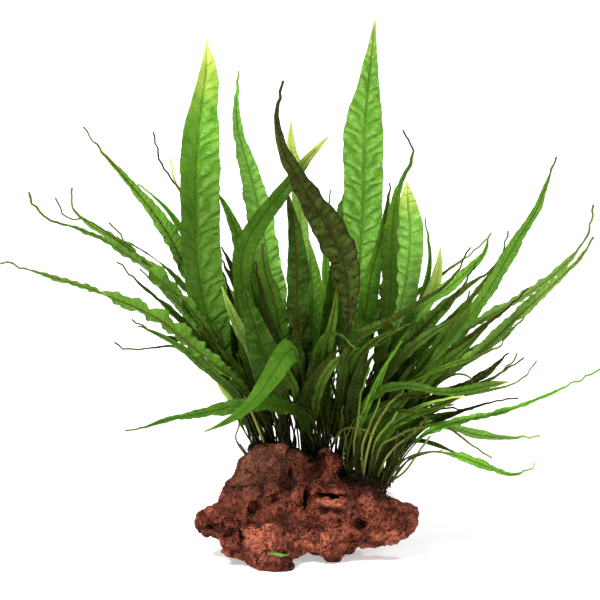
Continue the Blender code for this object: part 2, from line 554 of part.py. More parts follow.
def side_of_stem(line, share, side, reach=STEM_RADIUS + GAP + STALK * 0.4):
    """The foot of a frond or root: a point just off the creeping stem, and the way it points there."""
    at = share * (len(line) - 1)
    low = min(int(at), len(line) - 2)
    middle = line[low].lerp(line[low + 1], at - low)
    along = (line[low + 1] - line[low]).normalized()
    up = Vector((0, 0, 1))
    up = (up - along * up.dot(along)).normalized()
    back = Vector((0, 1, 0)) - along * along.y
    back = (back - up * back.dot(up)).normalized()
    out = up * math.cos(math.radians(side)) + back * math.sin(math.radians(side))
    return middle + out * reach, out


def frond_points(frond, line, shift, bow, slide):
    """The rib's line, with its far part moved back, its lower part bowed and its foot slid along the stem."""
    foot, out = side_of_stem(line, min(1, max(0, frond.share + slide)), frond.side)
    count = len(frond.route)
    route = []
    for at, (across, up, depth) in enumerate(frond.route[1:], 1):
        share = (at + 1) / count
        back = shift * min(1, share * 1.6) + bow * math.sin(math.pi * min(1, share * 1.5))
        route.append(place(across, up, depth + back))
    return smooth_run([foot, foot + out * FOOT_RISE, *route], STATIONS)


SHIFTS = [0, -3, 3, -6, 6, -10, 10, -14, 14, -19, 19, -25, 25, -32, 32]
BOWS = [0, -4, 4, -8, 8, -13, 13]
SLIDES = [0, -0.02, 0.02, -0.05, 0.05]


def grow(frond, line, taken):
    """The frond in the first place, near the one wanted, where it is clear of all that is there."""
    tries = sorted(product(SHIFTS, BOWS, SLIDES), key=lambda t: abs(t[0]) + 1.2 * abs(t[1]) + 80 * abs(t[2]))
    for shift, bow, slide in tries:
        points = frond_points(frond, line, shift, bow, slide)
        probe = frond_solid(frond, points, CLEARANCE)
        tree = tree_of(probe)
        probe.free()
        if not any(tree.overlap(other) for other in taken):
            return frond_solid(frond, points)
    raise RuntimeError("a frond has no clear place")


def stand_on_origin():
    """Move everything so that the origin is under the middle of the whole, where it stands."""
    made = list(bpy.data.objects)
    corners = [vertex.co for obj in made for vertex in obj.data.vertices]
    middle = Vector(((min(c.x for c in corners) + max(c.x for c in corners)) / 2,
                     (min(c.y for c in corners) + max(c.y for c in corners)) / 2, 0))
    for obj in made:
        obj.data.transform(Matrix.Translation(-middle))


def main():
    for old in list(bpy.data.objects):
        bpy.data.objects.remove(old)
    rock = stone()
    rock_tree = tree_of(rock)
    finish("lava_stone", rock, "lava", smooth=False)
    taken = [rock_tree]
    lines = []
    for name, run in STEM_RUNS:
        line = stem_line(run, rock_tree)
        lines.append(line)
        ends = [0.55 if at in (0, len(line) - 1) else 1 for at in range(len(line))]
        body = tube(line, [STEM_RADIUS * end for end in ends], 6)
        taken.append(tree_of(body))
        finish(name, body, "rhizome")
    for name, stem, share, run in ROOT_RUNS:
        line = root_line(lines[stem], share, run, rock_tree)
        body = tube(line, [ROOT_RADIUS * (1 - 0.4 * at / len(line)) for at in range(len(line))], 5)
        taken.append(tree_of(body))
        finish(name, body, "root")
    scrap = scrap_solid(rock_tree)
    taken.append(tree_of(scrap))
    finish("leaf_scrap", scrap, "frond_bright")
    for number, frond in enumerate(FRONDS, 1):
        body = grow(frond, lines[frond.stem], taken)
        taken.append(tree_of(body))
        finish(f"frond_{number:02d}", body, frond.kind)
    stand_on_origin()


main()
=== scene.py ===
"""Looks of a java fern that grows on a lump of lava stone.

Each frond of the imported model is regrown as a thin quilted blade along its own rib, the stone gets its
pores and breaks, and the creeping stem its scales and rootlets. Lengths are worked out in millimetres and
turned into metres as a mesh is made.
"""

import json
import math
from collections import namedtuple

import bmesh
import bpy
import numpy as np
from bpy.props import FloatProperty, FloatVectorProperty, IntProperty, PointerProperty
from bpy.types import Operator, Panel, PropertyGroup
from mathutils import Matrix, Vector, noise
from mathutils.bvhtree import BVHTree


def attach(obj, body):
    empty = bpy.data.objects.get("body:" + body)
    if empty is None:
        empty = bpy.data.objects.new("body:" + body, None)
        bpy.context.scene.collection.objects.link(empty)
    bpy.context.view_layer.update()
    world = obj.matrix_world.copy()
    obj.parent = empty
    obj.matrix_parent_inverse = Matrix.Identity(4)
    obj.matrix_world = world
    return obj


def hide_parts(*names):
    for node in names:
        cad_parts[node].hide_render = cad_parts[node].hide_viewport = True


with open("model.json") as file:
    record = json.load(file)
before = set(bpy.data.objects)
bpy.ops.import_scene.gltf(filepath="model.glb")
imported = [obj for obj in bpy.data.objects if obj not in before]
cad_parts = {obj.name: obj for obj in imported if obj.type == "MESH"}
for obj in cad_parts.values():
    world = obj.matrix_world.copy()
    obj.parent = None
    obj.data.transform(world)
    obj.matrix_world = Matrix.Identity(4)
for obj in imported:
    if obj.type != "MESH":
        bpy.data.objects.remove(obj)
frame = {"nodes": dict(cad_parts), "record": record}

bl_info = {
    "name": "Java fern on lava stone",
    "version": (1, 0, 0),
    "blender": (4, 5, 0),
    "location": "3D View > Sidebar > Java fern",
    "description": "Dresses the packed java fern with quilted fronds, porous stone and rootlets",
    "category": "Object",
}

MM = 0.001

# The plant is read as it looks from the front: across and up on the upright sheet through the middle of
# the stone, then set back along the line of sight. The origin is under the middle of the whole.
MIDDLE = np.array((-0.981, 24.126, 0.0))
EYE_DISTANCE = 2000.0
EYE_TILT = math.radians(10)
AIM = np.array((-4.0, 0.0, 133.0))
FORWARD = np.array((0.0, math.cos(EYE_TILT), -math.sin(EYE_TILT)))
RISE = np.array((0.0, math.sin(EYE_TILT), math.cos(EYE_TILT)))
EYE = AIM - FORWARD * EYE_DISTANCE
PICTURE_WIDTH = 300.0
SENSOR = 36.0

# How a frond's solid is laid out
RING = 4
STALK = 1.5
TAPER = 0.55

# Columns of points from a blade's rib to its edge, as shares of its half width, by how broad it is
BROAD_COLUMNS = np.array((0, 0.05, 0.10, 0.20, 0.34, 0.48, 0.62, 0.76, 0.88, 0.97, 1.0))
MIDDLE_COLUMNS = np.array((0, 0.08, 0.20, 0.38, 0.58, 0.78, 0.93, 1.0))
NARROW_COLUMNS = np.array((0, 0.18, 0.50, 0.82, 1.0))
STALK_COLUMNS = np.array((0, 0.6, 1.0))

# Half width from which a frond counts as broad, and steps between points along a broad blade, a middling
# one, a small frond, one of the crowd inside and a bare stalk
BROAD = 6.0
BROAD_STEP = 0.8
MIDDLE_STEP = 1.1
SMALL_STEP = 1.4
CROWD_STEP = 2.0
STALK_STEP = 2.8

# Where the random draws of each group of fronds start: those of its layout, and those of its blades
SOLID_SEEDS = (900, 40)
SMALL_SEEDS = (300, 400)
INNER_SEEDS = (77, 600)
SPROUT_SEEDS = (123, 800)
STALK_SEEDS = (321, 1000)
ROOTLET_SEED = 5
STONE_SEED = 11


def place(across, up, depth):
    """The point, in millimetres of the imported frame, seen at (across, up) from the front, this deep."""
    on_sheet = AIM + np.array((across - AIM[0], 0, 0)) + RISE * (up - AIM @ RISE)
    ray = on_sheet - EYE
    return EYE + ray * ((depth - EYE[1]) / ray[1]) - MIDDLE


def smoothstep(low, high, value):
    """0 below low, 1 above high and a smooth rise between."""
    share = np.clip((value - low) / (high - low), 0, 1)
    return share * share * (3 - 2 * share)


def unit(vectors):
    """Each row as a vector of length 1."""
    return vectors / np.maximum(np.linalg.norm(vectors, axis=-1, keepdims=True), 1e-9)


def through(values, at):
    """Values on the smooth curve through these, one a station, at these places (0 is the first)."""
    values = np.asarray(values, float)
    rows = values.reshape(len(values), -1)
    ends = np.concatenate([2 * rows[:1] - rows[1:2], rows, 2 * rows[-1:] - rows[-2:-1]])
    low = np.clip(at.astype(int), 0, len(rows) - 2)
    t = (at - low)[:, None]
    a, b, c, d = ends[low], ends[low + 1], ends[low + 2], ends[low + 3]
    bend = (2 * a - 5 * b + 4 * c - d) * t ** 2
    read = 0.5 * (2 * b + (c - a) * t + bend + (3 * b - a - 3 * c + d) * t ** 3)
    return read.reshape(len(at), *values.shape[1:])


def stations(centre, leafy, fine, coarse):
    """Places along the curve through these points, closer together on the blade than on the stalk.

    Returns the places and how far along the curve, in millimetres, each is.
    """
    dense = np.linspace(0, len(centre) - 1, 40 * len(centre))
    steps = np.linalg.norm(np.diff(through(centre, dense), axis=0), axis=1)
    run = np.concatenate([[0], np.cumsum(steps)])
    size = np.where(leafy(dense[1:]) > 0.02, fine, coarse)
    need = np.concatenate([[0], np.cumsum(steps / size)])
    at = np.interp(np.linspace(0, need[-1], max(12, math.ceil(need[-1]) + 1)), need, dense)
    return at, np.interp(at, dense, run)


def width_share(share, shape):
    """How much of its full width a blade has at a share of the frond's length."""
    stalk_end, full_from, full_to, tip = shape
    if share <= stalk_end:
        return 0
    if share < full_from:
        rise = (share - stalk_end) / (full_from - stalk_end)
        return rise * rise * (3 - 2 * rise)
    if share <= full_to:
        return 1
    return max(0, (1 - share) / (1 - full_to)) ** tip


def headings(points):
    """The way that a frond runs at each point, and the way that its upper face looks there."""
    eye = EYE - MIDDLE
    along = unit(np.gradient(points, axis=0))
    facing = np.zeros_like(points)
    for at in reversed(range(len(points))):
        sight = eye - points[at]
        sight = sight / np.linalg.norm(sight)
        flat = sight - along[at] * (sight @ along[at])
        if at < len(points) - 1:
            kept = facing[at + 1] - along[at] * (facing[at + 1] @ along[at])
            kept = kept / np.linalg.norm(kept)
            size = np.linalg.norm(flat)
            if flat @ kept < 0:
                flat = -flat
            flat = flat * 2 * size + kept * (1 - size)
        facing[at] = flat / np.linalg.norm(flat)
    return along, facing


def frond_rings(points, width, shape, face, fold):
    """Rings of a frond along these points, as read from a solid: centre, way across, half width, lift."""
    along, facing = headings(points)
    share = np.linspace(0, 1, len(points))
    turn = np.radians(face[0] + (face[1] - face[0]) * share)[:, None]
    facing = facing * np.cos(turn) + np.cross(along, facing) * np.sin(turn)
    full = np.array([width_share(s, shape) for s in share])
    half = np.maximum(STALK * (1 - TAPER * share), width * full) / 2
    lift = (half - STALK / 2) * math.tan(math.radians(fold)) * np.minimum(1, full * 3)
    half[-1] = lift[-1] = 0
    return points, unit(np.cross(along, facing)), half, lift


def even_run(points, count):
    """This many points at even steps on the smooth curve through these points."""
    dense = np.linspace(0, len(points) - 1, 30 * len(points))
    curve = through(points, dense)
    run = np.concatenate([[0], np.cumsum(np.linalg.norm(np.diff(curve, axis=0), axis=1))])
    return through(points, np.interp(np.linspace(0, run[-1], count), run, dense))


def add_layer(mesh, label, values):
    """Gives each point of a mesh a vector of its own, under this label."""
    layer = mesh.attributes.new(label, "FLOAT_VECTOR", "POINT")
    layer.data.foreach_set("vector", np.asarray(values, np.float32).ravel())


def dressed(name, mesh, material):
    """A smooth object of this mesh and material, in the scene."""
    mesh.shade_smooth()
    mesh.materials.clear()
    mesh.materials.append(material)
    made = bpy.data.objects.new(name, mesh)
    bpy.context.scene.collection.objects.link(made)
    return made


def mesh_object(name, points, faces, layers, material):
    """An object from points in millimetres, with its named point layers and its material."""
    mesh = bpy.data.meshes.new(name)
    mesh.from_pydata((np.asarray(points) * MM).tolist(), [], faces)
    for label, values in layers.items():
        add_layer(mesh, label, values)
    return dressed(name, mesh, material)


def settle(piece, nodes=()):
    """The piece rides on the one body and stands for these solids."""
    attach(piece, "root")
    if nodes:
        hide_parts(*nodes)


# Shader nodes


class Value:
    """A socket that can be reckoned with as a number."""

    def __init__(self, shader, socket):
        self.shader = shader
        self.socket = socket

    def maths(self, operation, *others):
        made = self.shader.node("ShaderNodeMath", {"operation": operation}, dict(enumerate((self, *others))))
        return Value(self.shader, made.outputs[0])

    def __add__(self, other):
        return self.maths("ADD", other)

    __radd__ = __add__

    def __mul__(self, other):
        return self.maths("MULTIPLY", other)

    __rmul__ = __mul__

    def __sub__(self, other):
        return self.maths("SUBTRACT", other)

    def __rsub__(self, other):
        return (self * -1) + other

    def fract(self):
        return self.maths("FRACT")

    def absolute(self):
        return self.maths("ABSOLUTE")

    def highest(self, other):
        return self.maths("MAXIMUM", other)

    def ramp(self, low, high, first=0.0, last=1.0):
        """A smooth rise from first at low to last at high."""
        made = self.shader.node(
            "ShaderNodeMapRange", {"interpolation_type": "SMOOTHSTEP", "clamp": True},
            {"Value": self, "From Min": low, "From Max": high, "To Min": first, "To Max": last})
        return Value(self.shader, made.outputs["Result"])


class Shader:
    """A material's node tree, with one Principled BSDF."""

    SOCKETS = {"roughness": "Roughness", "specular": "Specular IOR Level"}

    def __init__(self, name, **fixed):
        self.material = bpy.data.materials.new(name)
        self.material.use_nodes = True
        self.tree = self.material.node_tree
        self.main = self.tree.nodes["Principled BSDF"]
        for socket, value in fixed.items():
            self.main.inputs[self.SOCKETS[socket]].default_value = value

    def node(self, kind, settings=None, inputs=None):
        """A node of this kind: settings first, then its sockets' values or links."""
        made = self.tree.nodes.new(kind)
        for key, value in (settings or {}).items():
            setattr(made, key, value)
        for key, value in (inputs or {}).items():
            self.feed(made.inputs[key], value)
        return made

    def feed(self, socket, value):
        """Links or sets a socket."""
        if isinstance(value, Value):
            self.tree.links.new(value.socket, socket)
        elif isinstance(value, bpy.types.NodeSocket):
            self.tree.links.new(value, socket)
        elif isinstance(value, (tuple, list)) and socket.type == "RGBA":
            socket.default_value = (*value, 1.0)[:4]
        else:
            socket.default_value = value

    def layer(self, label):
        """A point layer of the mesh as (x, y, z) values."""
        made = self.node("ShaderNodeAttribute", {"attribute_name": label})
        parts = self.node("ShaderNodeSeparateXYZ", None, {0: made.outputs["Vector"]})
        return [Value(self, out) for out in parts.outputs]

    def vector(self, x=0.0, y=0.0, z=0.0):
        return self.node("ShaderNodeCombineXYZ", None, {0: x, 1: y, 2: z}).outputs[0]

    def stretched(self, vector, scale):
        made = self.node("ShaderNodeVectorMath", {"operation": "MULTIPLY"}, {0: vector, 1: scale})
        return made.outputs[0]

    def noise(self, vector, scale, detail=2.0, roughness=0.5):
        made = self.node("ShaderNodeTexNoise", None,
                         {"Vector": vector, "Scale": scale, "Detail": detail, "Roughness": roughness})
        return Value(self, made.outputs["Fac"])

    def cells(self, vector, scale, feature="F1"):
        made = self.node("ShaderNodeTexVoronoi", {"feature": feature}, {"Vector": vector, "Scale": scale})
        return Value(self, made.outputs["Distance"])

    def mix(self, factor, first, second, blend="MIX"):
        """Two colours mixed by a factor."""
        settings = {"data_type": "RGBA", "blend_type": blend}
        return self.node("ShaderNodeMix", settings, {0: factor, 6: first, 7: second}).outputs[2]

    def painted(self, colour, *coats):
        """A colour with coats, each a mask and its paint, laid over it in this order."""
        for mask, paint in coats:
            colour = self.mix(mask, colour, paint)
        return colour

    def bump(self, height, distance):
        inputs = {"Height": height, "Distance": distance, "Strength": 1.0}
        return self.node("ShaderNodeBump", None, inputs).outputs[0]

    def let_light_through(self, colour, share):
        """Part of the light goes through the surface in this colour."""
        thin = self.node("ShaderNodeBsdfTranslucent", None, {"Color": colour})
        both = self.node("ShaderNodeMixShader", None, {0: share, 1: self.main.outputs[0], 2: thin.outputs[0]})
        self.tree.links.new(both.outputs[0], self.tree.nodes["Material Output"].inputs["Surface"])

    def finish(self, colour=None, roughness=None, normal=None):
        for socket, value in (("Base Color", colour), ("Roughness", roughness), ("Normal", normal)):
            if value is not None:
                self.feed(self.main.inputs[socket], value)
        return self.material


def tinted(colour, share, added=(0, 0, 0)):
    """A share of a colour, with another one added to it."""
    return tuple(share * c + a for c, a in zip(colour, added))


def colours_of(settings, *keys):
    """These colours of a group of settings."""
    return (tuple(getattr(settings, key)) for key in keys)


# What age does to a blade: withered tips, rusty beads along rib and edge, specks, and worn patches. The old
# frond has worn patches, cracks and an edge of its own.
WITHERED = (0.036, 0.026, 0.009)
RUSTY = (0.085, 0.020, 0.008)
SPECKS = (0.024, 0.016, 0.008)
WORN = (0.040, 0.024, 0.007)
OLD_WORN = (0.020, 0.013, 0.005)
OLD_CRACK = (0.008, 0.006, 0.002)
OLD_EDGE = (0.014, 0.010, 0.004)

# What is added to a blade's colour: painted pale sheen on a pale one, painted highlights on its puffs and
# on the old frond's puffs, painted sheen in patches, and the palest colour of a young tip. Then the tint of
# its gloss, and how much light comes through it.
PALE_SHEEN = (0.11, 0.13, 0.06)
GLINT = (0.16, 0.19, 0.10)
OLD_GLINT = (0.03, 0.035, 0.014)
SHEEN = (0.04, 0.05, 0.016)
PALEST = (0.34, 0.38, 0.12)
GLOSS_TINT = (0.75, 1.0, 0.22, 1.0)
SEE_THROUGH = 0.12

# Stalks have dark patches, and some are pale. Painted shade darkens stalks and blades towards one colour deep
# in the plant.
STALK_DARK = (0.022, 0.010, 0.003)
STALK_PALE = (0.24, 0.28, 0.060)
PAINTED_SHADE_COLOUR = (0.010, 0.009, 0.0015)


def frond_material(name, body, light, dark, tip, stalk, glow, gloss=0.16, blotches=0.0):
    """A quilted blade: veined, mottled and speckled, with its own tip, rib and stalk, and with painted light
    and shade.

    The mesh carries where a point is on its blade, and how this one frond differs from others of its kind.
    """
    shader = Shader(name, roughness=0.4, specular=gloss)
    shader.main.inputs["Specular Tint"].default_value = GLOSS_TINT
    side, share, phase = shader.layer("blade")
    across, along, leafy = shader.layer("spot")
    tone, seed, rust = shader.layer("kind")
    young_from, young_most, warmth = shader.layer("young")
    # Painted shade, painted pale sheen and depth of quilt
    dim, pale, depth = shader.layer("air")
    flat = shader.vector(across, along, seed * 37.0)
    edge = side.absolute()
    off_rib = across.absolute()
    fine = shader.noise(flat, 0.9, 4.0, 0.65)
    patchy = shader.noise(flat, 0.42, 3.0, 0.6)
    broad = shader.noise(flat, 0.11, 2.0, 0.5)
    from_vein = (phase.fract() - 0.5).absolute() * -2.0 + 1.0
    beside_rib = edge.ramp(0.04, 0.16)
    between = beside_rib * leafy * depth
    veined = shader.vector(across * 0.62, along * 0.5 - off_rib * 0.45, seed * 11.0)
    web = shader.cells(veined, 1.0, "DISTANCE_TO_EDGE").ramp(0.0, 0.10)

    # Painted highlights on the crowns of the puffs
    puffs = from_vein.ramp(0.35, 0.95) * patchy.ramp(0.40, 0.62, 0.05, 0.75) * between
    # Painted shade in the valleys beside the veins
    valley_shade = from_vein.ramp(0.0, 0.30, 0.42, 0.0) * patchy.ramp(0.30, 0.62, 1.0, 0.25) * between
    sheen = shader.noise(flat, 0.19, 3.0, 0.65).ramp(0.50, 0.66, 0.0, 0.38) * leafy
    colour = shader.painted(
        shader.mix(broad.ramp(0.30, 0.70), body, light),
        (warmth, tinted(tip, 0.35, light)),
        # Painted pale sheen
        (pale, tinted(light, 0.35, PALE_SHEEN)),
        # Painted highlights on the puffs
        (puffs, tinted(light, 0.75, OLD_GLINT if blotches else GLINT)),
        # Painted shade in the valleys beside the veins
        (valley_shade, tinted(body, 0.5, tinted(dark, 0.5))),
        (web.ramp(0.0, 1.0, 0.20, 0.0) * leafy, dark),
        (fine.ramp(0.30, 0.50, 0.26, 0.0), dark),
        (edge.ramp(0.93, 1.0, 0.0, 0.35) * leafy, dark),
        (sheen, tinted(light, 1.1, SHEEN)),
    )
    if blotches:
        worn = shader.noise(flat, 0.16, 4.0, 0.7).ramp(0.42, 0.62, 0.0, blotches)
        broken = from_vein.ramp(0.05, 0.34, 0.95, 0.0) * patchy.ramp(0.40, 0.52, 1.0, 0.0) * beside_rib
        dry = edge.ramp(0.72, 0.98, 0.0, 0.7)
        colour = shader.painted(colour, (worn, OLD_WORN), (broken, OLD_CRACK), (dry, OLD_EDGE))
    else:
        worn = shader.noise(flat, 0.14, 4.0, 0.7).ramp(0.56, 0.68, 0.0, 0.65) * rust
        colour = shader.mix(worn, colour, WORN)
    bead = shader.cells(shader.stretched(flat, (1.3, 0.8, 1.0)), 0.8).ramp(0.30, 0.55, 1.0, 0.35)
    beaded = off_rib.ramp(0.32, 0.78, 1.0, 0.0).highest(edge.ramp(0.93, 1.0, 0.0, 0.6))
    speck = shader.cells(flat, 0.55).ramp(0.14, 0.22, 1.0, 0.0) * off_rib.ramp(1.2, 2.4, 1.0, 0.0)
    colour = shader.painted(
        colour,
        (off_rib.ramp(0.20, 0.55, 0.45, 0.0) * leafy, dark),
        (bead * beaded * rust, RUSTY),
        (speck * rust * share.ramp(0.62, 0.5), SPECKS),
        (share.ramp(0.10, 0.45, 0.60, 0.0), dark),
    )
    shade = shader.node("ShaderNodeCombineColor", None, {0: tone, 1: tone, 2: tone}).outputs[0]
    colour = shader.mix(1.0, colour, shade, "MULTIPLY")
    ripe = share + (broad - 0.5) * 0.08 - edge * 0.015 - young_from
    ripe = ripe.maths("DIVIDE", (1 - young_from).highest(0.01)).ramp(0.0, 1.0)
    young = young_most.highest(0.0)
    withered = (young_most * -1.0).highest(0.0)
    bark = shader.mix(shader.noise(flat, 1.3, 3.0).ramp(0.38, 0.62), stalk, STALK_DARK)
    bare = leafy.ramp(0.1, 0.9, 1.0, 0.0) * share.ramp(0.6, 0.8, 1.0, 0.0)
    colour = shader.painted(
        colour,
        (ripe * young * off_rib.ramp(0.1, 0.7, 0.45, 1.0), tip),
        (ripe.ramp(0.70, 1.0) * young * 0.8, tinted(tip, 0.6, PALEST)),
        (ripe * withered, WITHERED),
        (bare, shader.mix(warmth, bark, STALK_PALE)),
        # Painted shade deep in the plant, low down and on the lower part of a frond
        (dim, tinted(dark, 0.35, PAINTED_SHADE_COLOUR)),
    )
    groove = from_vein.ramp(0.0, 0.5) * leafy * edge.ramp(0.02, 0.12)
    height = groove * depth + fine * 0.30 + web * 0.15
    shader.let_light_through(glow, SEE_THROUGH)
    return shader.finish(colour, patchy.ramp(0.35, 0.65, 0.22, 0.48), shader.bump(height, 0.40 * MM))


LAVA_SPECKS = (0.60, 0.30, 0.20)
MOSS = (0.022, 0.034, 0.008)


def lava_material(settings):
    """Red lava: brick red and orange with painted light where it is raised or its facets are lit, painted
    shade in its pores, pits and low places, with a dull film on the top left.
    """
    bright, dull, crust, pore, dust = colours_of(settings, "bright", "dull", "crust", "pore", "film")
    shader = Shader("lava_skin", roughness=0.92, specular=0.10)
    hollow, rise, film = shader.layer("skin")
    warm, porous, moss = shader.layer("patch")
    spot = shader.node("ShaderNodeTexCoord").outputs["Object"]
    broad = shader.noise(spot, 45.0, 4.0, 0.6)
    patchy = shader.noise(spot, 210.0, 4.0, 0.6)
    fine = shader.noise(spot, 1150.0, 4.0, 0.7)
    crowded = shader.noise(spot, 90.0).ramp(0.40, 0.56).highest(porous)
    pores = shader.cells(spot, 620.0).ramp(0.12, 0.36, 1.0, 0.0) * crowded
    pricked = shader.noise(spot, 260.0).ramp(0.42, 0.56)
    pinholes = shader.cells(spot, 1300.0).ramp(0.14, 0.36, 1.0, 0.0) * pricked
    clusters = shader.noise(spot, 120.0, 2.0, 0.5).ramp(0.40, 0.56, 0.10, 1.0).highest(porous)
    flecks = shader.noise(spot, 640.0, 3.0, 0.65).ramp(0.39, 0.44, 0.9, 0.0) * clusters
    specks = shader.cells(spot, 1400.0).ramp(0.10, 0.24, 1.0, 0.0) * patchy.ramp(0.50, 0.60)
    colour = shader.painted(
        shader.mix((broad * 0.6 + patchy * 0.4).ramp(0.40, 0.60), dull, bright),
        # Painted light on raised parts
        (rise.ramp(0.45, 1.0, 0.0, 0.65), bright),
        # Orange patches: the lava's orange, partly painted light on lit facets
        (warm * patchy.ramp(0.35, 0.60, 0.30, 0.75), crust),
        (film * 0.9, dust),
        (fine.ramp(0.50, 0.72, 0.0, 0.55), crust),
        # More painted light on the most raised parts
        (rise.ramp(0.62, 1.0) * patchy.ramp(0.45, 0.65) * 0.45, crust),
        (flecks, pore),
        # Painted shade in low places, pits, cracks, pores and pinholes
        (rise.ramp(0.05, 0.38, 0.45, 0.0), pore),
        (hollow, pore),
        (pores * 0.85, pore),
        (pinholes * 0.85, pore),
        (specks * 0.6, LAVA_SPECKS),
        (moss * fine.ramp(0.40, 0.60, 1.0, 0.3), MOSS),
    )
    height = fine * 0.7 + patchy * 0.8 - pores - pinholes * 0.6 - flecks * 0.7
    return shader.finish(colour, None, shader.bump(height, 0.6 * MM))


def bark_material(name, body, lighter, darker, scale):
    """The creeping stem or a root: scaly, patchy and rough."""
    shader = Shader(name, roughness=0.9, specular=0.08)
    spot = shader.node("ShaderNodeTexCoord").outputs["Object"]
    fine = shader.noise(spot, scale, 5.0, 0.65)
    broad = shader.noise(spot, scale / 6, 2.0)
    scales = shader.cells(spot, scale * 0.9, "DISTANCE_TO_EDGE").ramp(0.0, 0.15)
    dark = tinted(body, darker)
    colour = shader.painted(
        shader.mix(broad.ramp(0.35, 0.65), body, tinted(body, lighter)),
        (fine.ramp(0.4, 0.7, 0.7, 0.0), dark),
        (scales.ramp(0.0, 1.0, 0.6, 0.0), dark),
    )
    return shader.finish(colour, None, shader.bump(fine * 0.6 + scales * 0.5, 0.35 * MM))


def floor_material(colour, glow):
    """A pale matt floor that is lit from within, like a light table."""
    shader = Shader("pale_floor", roughness=0.9, specular=0.1)
    shader.main.inputs["Emission Color"].default_value = (1.0, 1.0, 1.0, 1.0)
    shader.main.inputs["Emission Strength"].default_value = glow
    return shader.finish(colour)


# Fronds

# The line that the plant grows out of (middle across, middle back, half length), and between which distances
# out of it and heights painted shade on its blades goes from dark to lit. Low down it goes from fairly dark
# to lit further in.
SPINE = (8.0, -16.0, 20.0)
DEEP_OUT = (10.0, 46.0)
DEEP_UP = (84.0, 150.0)
LOW_OUT = (12.0, 34.0)
LOW_UP = (62.0, 96.0)
LOW_MOST = 0.75

# Over how much of its length the painted shade on a frond's lower part fades until the frond is lit
DIM_REACH = 0.26


def solid_rings(node):
    """A frond's solid read ring by ring from its foot: rib, way across, half width and lift of the edges."""
    mesh = frame["nodes"][node].data
    spots = {}
    index = [spots.setdefault(tuple(round(c, 6) for c in v.co), len(spots)) for v in mesh.vertices]
    near = [set() for _ in spots]
    for edge in mesh.edges:
        a, b = (index[i] for i in edge.vertices)
        if a != b:
            near[a].add(b)
            near[b].add(a)
    places = np.array(list(spots)) / MM
    for start in range(len(places)):
        layers, seen = [[start]], {start}
        while layers[-1]:
            after = {n for i in layers[-1] for n in near[i]} - seen
            seen |= after
            layers.append(sorted(after))
        layers.pop()
        if len(layers[0]) == 1 and all(len(layer) == RING for layer in layers[1:]):
            break
    else:
        raise RuntimeError(f"{node} doesn't have the rings of a frond")
    front = EYE - MIDDLE - places[layers[0][0]]
    rows = []
    for layer in layers[1:]:
        corners = places[layer]
        apart = np.linalg.norm(corners[:, None] - corners[None], axis=2)
        one, two = np.unravel_index(apart.argmax(), apart.shape)
        upper, lower = (corners[i] for i in range(RING) if i not in (one, two))
        if (upper - lower) @ front < 0:
            upper, lower = lower, upper
        front = upper - lower
        rows.append([(upper + lower) / 2, corners[one], corners[two], front])
    rows.reverse()
    centre = np.array([row[0] for row in rows] + [places[layers[0][0]]])
    along = unit(np.gradient(centre, axis=0))
    facing = unit(np.array([row[3] for row in rows] + [rows[-1][3]]))
    across = unit(np.cross(along, facing))
    half, lift = [], []
    for at, (middle, one, two, _) in enumerate(rows):
        half.append(abs((two - one) @ across[at]) / 2)
        lift.append(((one + two) / 2 - middle) @ facing[at])
    return centre, across, np.array(half + [0.0]), np.array(lift + [0.0])


# How one frond differs: skin, vein spacing, lean of the veins, depth of quilt, ruffle of the edge, twist in
# degrees, shift of the rib to one side, how much its halves fold, tone, rust, where the young tip starts and
# how strong it is (below 0 withered), warmth, how thick its thread of a tip is, how smooth its left half is
# and how much painted shade darkens it, how much painted shade darkens its lower part and up to where, how
# much painted pale sheen it has, how quickly it comes to its tip, what its left and right halves' widths are
# multiplied by at these shares of its length, and how much painted shade darkens it deep in the plant
Look = namedtuple("Look", "skin pitch lean quilt ruffle twist rib fold tone rust young tip warm "
                          "least calm dim lit_from pale blunt left right shaded",
                  defaults=(0.44, 0.0, 0.0, 0.68, 0.0, 0.8, (), (), 0.85))


def painted_shade(middle, share, look):
    """How much painted shade each place along a blade gets for lying deep in the plant or near its own foot.
    """
    out = np.hypot(np.maximum(np.abs(middle[:, 0] - SPINE[0]) - SPINE[2], 0), middle[:, 1] - SPINE[1])
    up = middle[:, 2]
    deep = (1 - smoothstep(*DEEP_OUT, out)) * (1 - smoothstep(*DEEP_UP, up)) * look.shaded
    low = (1 - smoothstep(*LOW_UP, up)) * (1 - smoothstep(*LOW_OUT, out)) * LOW_MOST * look.shaded
    own = look.dim * (1 - smoothstep(look.lit_from - DIM_REACH, look.lit_from, share))
    return np.maximum(np.maximum(deep, low), own)


def tube_faces(count, ring):
    """Faces of a tube of this many rings of points, drawn in at both ends to a point that follows them."""
    here = np.arange(count - 1)[:, None] * ring + np.arange(ring)
    after = np.arange(count - 1)[:, None] * ring + (np.arange(ring) + 1) % ring
    faces = np.stack([here, after, after + ring, here + ring], axis=2).reshape(-1, 4).tolist()
    last, foot, tip = (count - 1) * ring, count * ring, count * ring + 1
    for i in range(ring):
        j = (i + 1) % ring
        faces.append((j, i, foot))
        faces.append((last + i, last + j, tip))
    return faces


